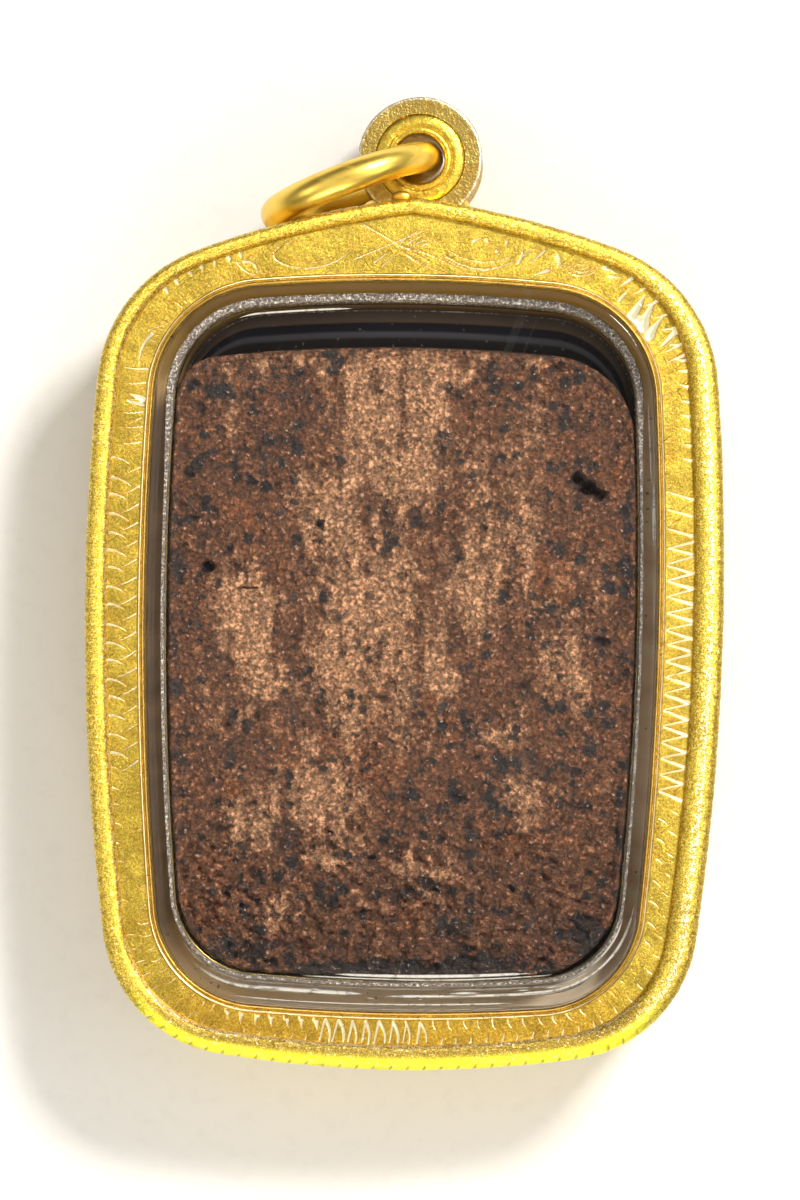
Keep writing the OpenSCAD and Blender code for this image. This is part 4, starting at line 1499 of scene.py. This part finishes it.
def dimmed(tree, base, factor):
    """A colour made darker or brighter by a factor."""
    grey = add(tree, "ShaderNodeCombineXYZ", {0: factor, 1: factor, 2: factor}).outputs[0]
    return blended(tree, 1.0, base, grey, "MULTIPLY")


def ranged(tree, value, low, high, to_low=0.0, to_high=1.0):
    """A value moved from one range to another and kept inside it."""
    keys = {"Value": value, "From Min": low, "From Max": high, "To Min": to_low, "To Max": to_high}
    return add(tree, "ShaderNodeMapRange", keys, interpolation_type="SMOOTHSTEP").outputs[0]


def group(name, inputs, outputs, build):
    """A node group with named inputs and outputs, built once."""
    tree = bpy.data.node_groups.get(name)
    if tree is None:
        tree = bpy.data.node_groups.new(name, "ShaderNodeTree")
        for socket, (kind, value) in inputs.items():
            made = tree.interface.new_socket(socket, in_out="INPUT", socket_type=kind)
            if value is not None:
                made.default_value = value
        for socket, kind in outputs.items():
            tree.interface.new_socket(socket, in_out="OUTPUT", socket_type=kind)
        source = tree.nodes.new("NodeGroupInput")
        result = tree.nodes.new("NodeGroupOutput")
        for socket, value in build(tree, source.outputs).items():
            tree.links.new(value, result.inputs[socket])
    return tree


def use(tree, name, inputs, outputs, build, **values):
    """Places a group in a material with its own values."""
    node = tree.nodes.new("ShaderNodeGroup")
    node.node_tree = group(name, inputs, outputs, build)
    for key, value in values.items():
        feed(tree, node.inputs[key.capitalize()], value)
    return node.outputs


NUMBER = "NodeSocketFloat"
COLOUR = "NodeSocketColor"
PLACE = "NodeSocketVector"


def grain(tree, place, **values):
    """Group: fine grain at two sizes, as height, and the grain's dark pits, as a mask."""
    def build(inside, given):
        coarse = cloudy(inside, given["Place"], given["Scale"], 4.0, 0.65)[0]
        fine = cloudy(inside, given["Place"], times(inside, given["Scale"], 3.1))[0]
        return {"Height": plus(inside, fine, 0.5, coarse), "Pits": ranged(inside, coarse, 0.5, 0.34)}
    inputs = {"Place": (PLACE, None), "Scale": (NUMBER, 1000.0)}
    return use(tree, "Grain", inputs, {"Height": NUMBER, "Pits": NUMBER}, build, place=place, **values)


def scratches(tree, place, **values):
    """Group: fine scratches in one direction, as a mask."""
    def build(inside, given):
        keys = {"Vector": given["Place"], "Rotation": given["Turn"], "Scale": (1.0, 0.04, 1.0)}
        turned = add(inside, "ShaderNodeMapping", keys, vector_type="TEXTURE").outputs[0]
        lines = ranged(inside, cloudy(inside, turned, given["Scale"])[0], 0.62, 0.7)
        broken = cloudy(inside, given["Place"], times(inside, given["Scale"], 2.0), 1.0)[0]
        return {"Mask": times(inside, lines, ranged(inside, broken, 0.42, 0.6))}
    inputs = {"Place": (PLACE, None), "Turn": (PLACE, (0, 0, 0)), "Scale": (NUMBER, 200.0)}
    return use(tree, "Scratches", inputs, {"Mask": NUMBER}, build, place=place, **values)["Mask"]


def warmth(tree, place, **values):
    """Group: gold that goes from clean to deep in soft patches and where the Hollow input is high,
    which for the bead and the plate carries painted shade.
    """
    def build(inside, given):
        patches = cloudy(inside, given["Place"], given["Scale"], 5.0, 0.6)[0]
        mask = larger(inside, ranged(inside, patches, 0.5, 0.72, 0.0, 0.4), given["Hollow"])
        return {"Colour": blended(inside, mask, given["Clean"], given["Deep"])}
    inputs = {"Place": (PLACE, None), "Scale": (NUMBER, 300.0), "Hollow": (NUMBER, 0.0),
              "Clean": (COLOUR, None), "Deep": (COLOUR, None)}
    return use(tree, "Warmth", inputs, {"Colour": COLOUR}, build, place=place, **values)["Colour"]


def spots(tree, place, **values):
    """Group: irregular round spots, as a mask."""
    def build(inside, given):
        bend = cloudy(inside, given["Place"], times(inside, given["Scale"], 2.5), 3.0)[1]
        strength = maths(inside, "DIVIDE", 0.55, given["Scale"])
        nudge = vector_maths(inside, "SCALE", a=bend, scale=strength)
        moved = vector_maths(inside, "ADD", a=given["Place"], b=nudge)
        cells = add(inside, "ShaderNodeTexVoronoi", {"Vector": moved, "Scale": given["Scale"]})
        chosen = add(inside, "ShaderNodeSeparateColor", {0: cells.outputs["Color"]})
        size = times(inside, chosen.outputs[0], given["Size"])
        depth = maths(inside, "SUBTRACT", size, cells.outputs["Distance"])
        return {"Mask": ranged(inside, depth, 0.0, 0.12)}
    inputs = {"Place": (PLACE, None), "Scale": (NUMBER, 1000.0), "Size": (NUMBER, 0.5)}
    return use(tree, "Spots", inputs, {"Mask": NUMBER}, build, place=place, **values)["Mask"]


def material(name):
    """Turns a function that fills a tree into one that gives the material, built once."""
    def wrap(fill):
        def built():
            made = bpy.data.materials.get(name)
            if made is None:
                made = bpy.data.materials.new(name)
                made.use_nodes = True
                tree = made.node_tree
                tree.nodes.clear()
                place = add(tree, "ShaderNodeTexCoord").outputs["Object"]
                shader = fill(tree, place, sizes()["finish"])
                add(tree, "ShaderNodeOutputMaterial", {"Surface": shader})
            return made
        return built
    return wrap


def attribute(tree, name, socket="Fac"):
    """A vertex attribute of the piece."""
    return add(tree, "ShaderNodeAttribute", attribute_name=name).outputs[socket]


def bumped(tree, height, strength, distance):
    """A normal from a height."""
    keys = {"Height": height, "Strength": strength, "Distance": distance}
    return add(tree, "ShaderNodeBump", keys).outputs[0]


def surface(tree, base, rough, normal, metal=0.0, gloss=0.5):
    """A solid surface from its colour, roughness and normal."""
    keys = {"Base Color": base, "Roughness": rough, "Metallic": metal, "Specular IOR Level": gloss,
            "Normal": normal}
    return add(tree, "ShaderNodeBsdfPrincipled", keys).outputs[0]


def gold(tree, base, rough, normal):
    """Gold from its colour, roughness and normal."""
    return surface(tree, base, rough, normal, metal=1.0)


@material("Frosted gold")
def frosted_gold(tree, place, finish):
    """The bead: sand-blasted gold with bright points, which are painted glints, and dark pits, with
    painted light, shade and highlights from its marks.
    """
    skin_grain = grain(tree, place, scale=9000.0)
    # Deeper olive where the stain mark paints shade, and in the milled ticks
    hollow = larger(tree, attribute(tree, "stain"), attribute(tree, "cut"))
    # Painted light: brighter gold on the lower flank
    sunny = attribute(tree, "sunny")
    clean = blended(tree, sunny, finish.bead_gold, finish.sunny_gold)
    base = warmth(tree, place, scale=420.0, hollow=hollow, clean=clean, deep=finish.olive_gold)
    sand = blotched(tree, place, 12000.0, 2.0)
    coarse = blotched(tree, place, 4500.0, 3.0)
    grains = dimmed(tree, base, ranged(tree, sand, -0.13, 0.13, 0.6, 1.5))
    grains = dimmed(tree, grains, ranged(tree, coarse, -0.13, 0.13, 0.8, 1.2))
    base = blended(tree, times(tree, sunny, 0.8), grains, base)
    # Painted highlights: pale gold along the worn mark, which is a painted highlight, and on glints of
    # the grain
    painted_shine = plus(tree, coarse, 2.2, plus(tree, sand, 2.6, attribute(tree, "worn")))
    base = blended(tree, ranged(tree, painted_shine, 0.35, 0.75, 0.0, 0.9), base, finish.painted_highlight_gold)
    rough = plus(tree, skin_grain["Pits"], 0.15, finish.frost)
    return gold(tree, base, rough, bumped(tree, skin_grain["Height"], 0.8, 0.04 * MM))


@material("Engraved gold")
def engraved_gold(tree, place, finish):
    """The plate: satin gold with fine scratches and bright, freshly cut strokes.
    The strokes' pale colour is partly a painted highlight, with painted shade along their edges, and
    the stain mark adds painted shade towards the bottom and the brown of the lip's hollows.
    """
    skin_grain = grain(tree, place, scale=6000.0)
    fine = scratches(tree, place, turn=(0, 0, 0.7), scale=420.0)
    crossed = scratches(tree, place, turn=(0, 0, -1.0), scale=560.0)
    lines = larger(tree, fine, crossed)
    # The cut mark turns the colour pale: fresh-cut metal with a painted highlight, also on the ridges
    # of the lip
    cut = ranged(tree, attribute(tree, "cut"), 0.12, 0.45)
    # The stain mark is painted shade towards the bottom and the brown of the lip's hollows
    hollow = plus(tree, skin_grain["Pits"], 0.08, attribute(tree, "stain"))
    ground = warmth(tree, place, scale=520.0, hollow=hollow, clean=finish.gold, deep=finish.deep_gold)
    speckle = blotched(tree, place, 9000.0, 3.0)
    clouds = blotched(tree, place, 800.0, 3.0)
    ground = dimmed(tree, ground, ranged(tree, speckle, -0.14, 0.14, 0.72, 1.3))
    ground = dimmed(tree, ground, ranged(tree, clouds, -0.13, 0.13, 0.82, 1.15))
    # Painted shade: a deeper gold along the edges of each cut
    mark = attribute(tree, "cut")
    rim = times(tree, ranged(tree, mark, 0.0, 0.1), ranged(tree, mark, 0.32, 0.14))
    ground = blended(tree, times(tree, rim, 0.65), ground, finish.deep_gold)
    base = blended(tree, cut, ground, finish.cut_highlight_gold)
    rough = plus(tree, cut, -0.06, plus(tree, lines, -0.12, finish.satin))
    height = plus(tree, lines, -0.25, times(tree, skin_grain["Height"], 0.6))
    quiet = maths(tree, "SUBTRACT", 1.0, times(tree, cut, 0.7))
    return gold(tree, base, rough, bumped(tree, times(tree, height, quiet), 1.0, 0.05 * MM))


@material("Polished gold")
def polished_gold(tree, place, finish):
    """The wall, the ring and the solder: polished gold with fine scratches and soft stains."""
    skin_grain = grain(tree, place, scale=1500.0)
    long = scratches(tree, place, turn=(0.6, 0.2, 0.4), scale=160.0)
    short = scratches(tree, place, turn=(-0.5, 0.9, -0.8), scale=230.0)
    lines = larger(tree, long, short)
    base = warmth(tree, place, scale=260.0, hollow=0.0, clean=finish.wire_gold, deep=finish.deep_gold)
    rough = plus(tree, lines, 0.2, finish.polish)
    rough = plus(tree, skin_grain["Height"], 0.1, rough)
    height = plus(tree, lines, -0.6, skin_grain["Height"])
    return gold(tree, base, rough, bumped(tree, height, 0.25, 0.02 * MM))


@material("Satin gold")
def satin_gold(tree, place, finish):
    """The loop: gold with a fine matt skin, in the bead's gold on its collar, with a painted highlight
    on the rims of its faces.
    """
    skin_grain = grain(tree, place, scale=3000.0)
    hollow = times(tree, skin_grain["Pits"], 0.4)
    clean = blended(tree, attribute(tree, "collar"), finish.loop_gold, finish.bead_gold)
    # Painted highlight: pale gold on the rims
    clean = blended(tree, times(tree, attribute(tree, "rim"), 0.5), clean, finish.painted_highlight_gold)
    base = warmth(tree, place, scale=380.0, hollow=hollow, clean=clean, deep=finish.deep_gold)
    base = dimmed(tree, base, ranged(tree, skin_grain["Height"], 0.6, 0.9, 0.8, 1.1))
    rough = plus(tree, skin_grain["Pits"], 0.15, finish.frost)
    return gold(tree, base, rough, bumped(tree, skin_grain["Height"], 0.8, 0.05 * MM))


def lets_light_in(tree, shader, tint):
    """Clear to lamps and to soft light, so that what lies inside is lit."""
    path = add(tree, "ShaderNodeLightPath")
    through = larger(tree, path.outputs["Is Shadow Ray"], path.outputs["Is Diffuse Ray"])
    clear = add(tree, "ShaderNodeBsdfTransparent", {"Color": tint}).outputs[0]
    return add(tree, "ShaderNodeMixShader", {0: through, 1: shader, 2: clear}).outputs[0]


ACRYLIC_IOR = 1.49


@material("Clear acrylic")
def clear_acrylic(tree, place, finish):
    """The clear case, with faint scratches, and an opaque sheet of painted light and shade, with
    streaks and specks of dirt, where the mark says so.
    """
    lines = scratches(tree, place, turn=(0, 0, 0.5), scale=130.0)
    rough = plus(tree, lines, 0.05, 0.01)
    keys = {"Base Color": finish.clear, "Roughness": rough, "Metallic": 0.0,
            "Transmission Weight": 1.0, "IOR": ACRYLIC_IOR}
    glass = add(tree, "ShaderNodeBsdfPrincipled", keys).outputs[0]
    clear = lets_light_in(tree, glass, finish.clear_light)
    specks = spots(tree, place, scale=2600.0, size=0.25)
    streaks = scratches(tree, place, turn=(0, 0, 1.2), scale=90.0)
    # The tint mark is painted light and shade; streaks and specks of dirt are laid on it, so the dirt
    # colour carries all of them
    tint = attribute(tree, "tint", "Color")
    marked = blended(tree, times(tree, streaks, 0.12), tint, finish.streak)
    dirt = blended(tree, specks, marked, finish.speck)
    keys = {"Base Color": dirt, "Roughness": 0.5, "Specular IOR Level": 0.15}
    film = add(tree, "ShaderNodeBsdfPrincipled", keys).outputs[0]
    dark = ranged(tree, attribute(tree, "film"), 0.2, 0.8)
    return add(tree, "ShaderNodeMixShader", {0: dark, 1: clear, 2: film}).outputs[0]


@material("Frosted seam")
def frosted_seam(tree, place, finish):
    """The seam: ground acrylic, grey and sparkling."""
    crumbs = grain(tree, place, scale=6500.0)
    lines = scratches(tree, place, turn=(0, 0, 0.9), scale=420.0)
    sparkle = larger(tree, lines, ranged(tree, crumbs["Height"], 0.78, 0.9))
    light = blended(tree, sparkle, finish.seam, finish.seam_glint)
    base = blended(tree, crumbs["Pits"], light, finish.seam_pit)
    across = add(tree, "ShaderNodeSeparateXYZ", {0: place}).outputs[0]
    base = dimmed(tree, base, ranged(tree, across, 0.0, 0.01, 1.0, 0.75))
    rough = ranged(tree, crumbs["Height"], 0.4, 1.0, 0.15, 0.6)
    return surface(tree, base, rough, bumped(tree, crumbs["Height"], 1.0, 0.08 * MM), gloss=0.9)


@material("Dried glue")
def dried_glue(tree, place, finish):
    """Thin dried glue, milky and glossy."""
    crumbs = grain(tree, place, scale=2500.0)
    base = blended(tree, crumbs["Pits"], finish.glue, finish.glue_pit)
    rough = ranged(tree, crumbs["Height"], 0.4, 1.0, 0.05, 0.3)
    return surface(tree, base, rough, bumped(tree, crumbs["Height"], 0.5, 0.02 * MM))


@material("Fired clay")
def fired_clay(tree, place, finish):
    """The tablet: rough brown clay with pale grains, red stains, dark spots and glints, and with
    painted light on its high places and painted shade in its hollows.
    """
    tone = add(tree, "ShaderNodeSeparateColor", {0: attribute(tree, "tone", "Color")})
    pale, dark, red = tone.outputs[0], tone.outputs[1], tone.outputs[2]
    # Painted shade: the clay loses its tan and darkens where it lies deep
    hollow = attribute(tree, "hollow")
    drawn = add(tree, "ShaderNodeMapping", {"Vector": place, "Scale": (1.0, 0.3, 1.0)}).outputs[0]
    clouds = blotched(tree, drawn, 520.0, 5.0)
    patches = blotched(tree, place, 650.0, 4.0)
    mottle = blotched(tree, place, 1700.0, 4.0)
    fine = blotched(tree, place, 5600.0, 3.0)
    bend = vector_maths(tree, "SCALE", a=cloudy(tree, place, 2500.0)[1], scale=0.3 * MM)
    moved = vector_maths(tree, "ADD", a=place, b=bend)
    cells = add(tree, "ShaderNodeTexVoronoi", {"Vector": moved, "Scale": 3000.0})
    crumbs = cells.outputs["Distance"]

    rust = plus(tree, patches, 2.6, plus(tree, mottle, 1.0, red))
    base = blended(tree, ranged(tree, rust, 0.1, 0.8, 0.0, 0.8), finish.clay, finish.clay_red)
    # The tan: the clay's pale stains and streaks, with painted light where the bump's mottle stands
    # high and less in the deep places
    pale_and_ridge_light = plus(tree, mottle, 1.0, times(tree, pale, 1.75))
    pale_and_ridge_light = plus(tree, clouds, 2.5, plus(tree, hollow, -0.3, pale_and_ridge_light))
    base = blended(tree, ranged(tree, pale_and_ridge_light, -0.1, 0.7, 0.0, 0.94), base, finish.clay_tan)
    grey = plus(tree, mottle, -1.6, plus(tree, patches, -1.8, dark))
    base = blended(tree, ranged(tree, grey, 0.38, 0.66, 0.0, 0.9), base, finish.clay_dark)
    small = spots(tree, place, scale=1250.0, size=0.6)
    few = times(tree, small, ranged(tree, patches, 0.08, 0.0))
    few = times(tree, few, ranged(tree, pale, 0.15, 0.6, 1.0, 0.25))
    base = blended(tree, times(tree, few, 0.95), base, finish.clay_dark)
    # Painted light and shade on the grain: lighter where the bump stands high and darker in its low
    # places, with the grain's own tone
    base = dimmed(tree, base, ranged(tree, fine, -0.13, 0.13, 0.42, 1.5))
    base = dimmed(tree, base, ranged(tree, crumbs, 0.15, 0.6, 1.35, 0.55))
    base = dimmed(tree, base, ranged(tree, mottle, -0.16, 0.14, 0.75, 1.3))
    # Painted shade in the deep places and pits
    base = blended(tree, ranged(tree, hollow, 1.2, 2.5, 0.0, 0.8), base, finish.clay_dark)
    glints = times(tree, ranged(tree, fine, 0.07, 0.16), ranged(tree, crumbs, 0.4, 0.2))
    base = blended(tree, times(tree, glints, 0.85), base, finish.clay_glint)
    rough = ranged(tree, glints, 0.0, 1.0, 0.65, 0.25)
    height = plus(tree, mottle, 1.4, plus(tree, crumbs, -0.7, fine))
    return surface(tree, base, rough, bumped(tree, height, 1.0, 0.42 * MM))


@material("Pale floor")
def pale_floor(tree, place, finish):
    """The floor: matt and pale, with a breath of grain."""
    paper = grain(tree, place, scale=900.0)
    base = blended(tree, paper["Pits"], finish.floor, [0.97 * c for c in finish.floor])
    return surface(tree, base, 0.8, bumped(tree, paper["Height"], 0.1, 0.02 * MM), gloss=0.2)


# The stage: half the floor's width in metres, and the lights. Each light is its name, azimuth from +X
# and height above the floor in degrees, its distance, its width along the horizon and its height in
# millimetres, its power in watts, and its colour.
FLOOR_REACH = 0.6
LIGHTS = (
    ("near_right", 10, 66, 350, 260, 50, 0.03, (1.0, 0.98, 0.94)),
    ("close_strip", 0, 64, 90, 60, 8, 0.0014, (1.0, 0.98, 0.94)),
    ("key", 48, 50, 350, 70, 50, 1.25, (1.0, 0.98, 0.94)),
    ("right_box", 350, 42, 350, 160, 60, 0.16, (1.0, 0.97, 0.92)),
    ("left_box", 185, 38, 350, 160, 60, 0.15, (1.0, 0.97, 0.92)),
    ("bottom_box", 266, 31, 350, 220, 60, 0.6, (1.0, 0.95, 0.86)),
)


def make_floor():
    """The floor, a square with the pendant in its middle."""
    bm = bmesh.new()
    bmesh.ops.create_grid(bm, x_segments=1, y_segments=1, size=FLOOR_REACH)
    floor = linked("floor", meshed("floor", bm, pale_floor()))


def make_camera():
    """The camera, a little to the right and towards the bottom edge, rolled as the picture is."""
    stage = sizes()["stage"]
    data = bpy.data.cameras.new("camera")
    data.lens = stage.lens
    data.clip_start = 0.01
    data.clip_end = 10
    camera = linked("camera", data)
    bpy.context.scene.camera = camera
    target = Vector((stage.target_x, stage.target_y, BACK_Z - 0.5 * MM))
    back = Vector((math.tan(stage.tilt_right), -math.tan(stage.tilt_down), 1)).normalized()
    distance = stage.view_height * stage.lens / data.sensor_width
    level_side = Vector((0, 1, 0)).cross(back).normalized()
    side = Matrix.Rotation(stage.roll, 3, back) @ level_side
    upright = back.cross(side)
    turned = Matrix((side, upright, back)).transposed().to_4x4()
    camera.matrix_world = Matrix.Translation(target + back * distance) @ turned


def make_lights():
    """The lamps, each facing the pendant."""
    for name, azimuth, height, far, wide, tall, power, tint in LIGHTS:
        lamp = bpy.data.lights.new(name, "AREA")
        lamp.shape = "RECTANGLE"
        lamp.size = wide * MM
        lamp.size_y = tall * MM
        lamp.energy = power
        lamp.color = tint
        a, h = math.radians(azimuth), math.radians(height)
        way = Vector((math.cos(a) * math.cos(h), math.sin(a) * math.cos(h), math.sin(h)))
        turned = way.to_track_quat("Z", "Y").to_matrix().to_4x4()
        linked(name, lamp).matrix_world = Matrix.Translation(way * far * MM) @ turned


def make_surroundings():
    """A soft tent of light: dim at the horizon, bright higher up and dark straight overhead."""
    world = bpy.data.worlds.new("surroundings")
    world.use_nodes = True
    tree = world.node_tree
    way = add(tree, "ShaderNodeTexCoord").outputs["Generated"]
    up = add(tree, "ShaderNodeSeparateXYZ", {0: way}).outputs[2]
    tent = times(tree, ranged(tree, up, 0.4, 0.88, 0.12, 0.88), ranged(tree, up, 0.996, 0.975))
    glow = larger(tree, tent, 0.06)
    tree.links.new(glow, tree.nodes["Background"].inputs["Strength"])
    tree.nodes["Background"].inputs["Color"].default_value = (1.0, 0.98, 0.95, 1.0)
    bpy.context.scene.world = world
    bpy.context.scene.view_settings.view_transform = "Standard"


# Operators, one for each piece or group of like pieces
class AMULET_OT_stage(bpy.types.Operator):
    """Set up the floor, the camera and the lights"""
    bl_idname = "amulet.stage"
    bl_label = "Stage"

    def execute(self, context):
        make_floor()
        make_camera()
        make_lights()
        make_surroundings()
        return {"FINISHED"}


class AMULET_OT_plates(bpy.types.Operator):
    """Make the engraved plates with their lips"""
    bl_idname = "amulet.plates"
    bl_label = "Engraved plates"

    def execute(self, context):
        make_plate("back", 0.06 * MM)
        make_plate("front", 0.11 * MM)
        return {"FINISHED"}


class AMULET_OT_beads(bpy.types.Operator):
    """Make the rolled beads"""
    bl_idname = "amulet.beads"
    bl_label = "Rolled beads"

    def execute(self, context):
        make_bead("back", 0.08 * MM)
        make_bead("front", 0.16 * MM)
        return {"FINISHED"}


class AMULET_OT_wall(bpy.types.Operator):
    """Make the side wall"""
    bl_idname = "amulet.wall"
    bl_label = "Side wall"

    def execute(self, context):
        make_wall()
        return {"FINISHED"}


class AMULET_OT_loop(bpy.types.Operator):
    """Make the hanging loop and its solder"""
    bl_idname = "amulet.loop"
    bl_label = "Hanging loop"

    def execute(self, context):
        make_loop()
        make_solder()
        return {"FINISHED"}


class AMULET_OT_ring(bpy.types.Operator):
    """Make the jump ring"""
    bl_idname = "amulet.ring"
    bl_label = "Jump ring"

    def execute(self, context):
        make_ring()
        return {"FINISHED"}


class AMULET_OT_clear_case(bpy.types.Operator):
    """Make the clear case, its frosted seams and its lines of dried glue"""
    bl_idname = "amulet.clear_case"
    bl_label = "Clear case"

    def execute(self, context):
        for side in ("back", "front"):
            make_cover(side)
            make_seam(side)
        make_glue()
        return {"FINISHED"}


class AMULET_OT_tablet(bpy.types.Operator):
    """Make the clay tablet"""
    bl_idname = "amulet.tablet"
    bl_label = "Clay tablet"

    def execute(self, context):
        make_tablet()
        return {"FINISHED"}


class AMULET_PT_sidebar(bpy.types.Panel):
    """Lists the pieces of the amulet"""
    bl_idname = "AMULET_PT_sidebar"
    bl_label = "Amulet pendant"
    bl_space_type = "VIEW_3D"
    bl_region_type = "UI"
    bl_category = "Amulet"

    def draw(self, context):
        for operator in OPERATORS:
            self.layout.operator(operator.bl_idname)


GROUPS = {
    "outline": AmuletOutline, "window": AmuletWindow, "border": AmuletBorder, "case": AmuletCase,
    "tablet": AmuletTablet, "loop": AmuletLoop, "finish": AmuletFinish, "stage": AmuletStage,
}
OPERATORS = (
    AMULET_OT_stage, AMULET_OT_plates, AMULET_OT_beads, AMULET_OT_wall,
    AMULET_OT_loop, AMULET_OT_ring, AMULET_OT_clear_case, AMULET_OT_tablet,
)


def register():
    """Registers the sizes, the operators and the panel."""
    for name, kind in GROUPS.items():
        bpy.utils.register_class(kind)
        setattr(bpy.types.Scene, "amulet_" + name, PointerProperty(type=kind))
    for kind in (*OPERATORS, AMULET_PT_sidebar):
        bpy.utils.register_class(kind)


def unregister():
    """Takes back what register did."""
    for kind in (AMULET_PT_sidebar, *reversed(OPERATORS)):
        bpy.utils.unregister_class(kind)
    for name, kind in GROUPS.items():
        delattr(bpy.types.Scene, "amulet_" + name)
        bpy.utils.unregister_class(kind)


def main():
    """Makes every piece."""
    register()
    for operator in OPERATORS:
        group_name, name = operator.bl_idname.split(".")
        getattr(getattr(bpy.ops, group_name), name)()


if __name__ == "__main__":
    main()
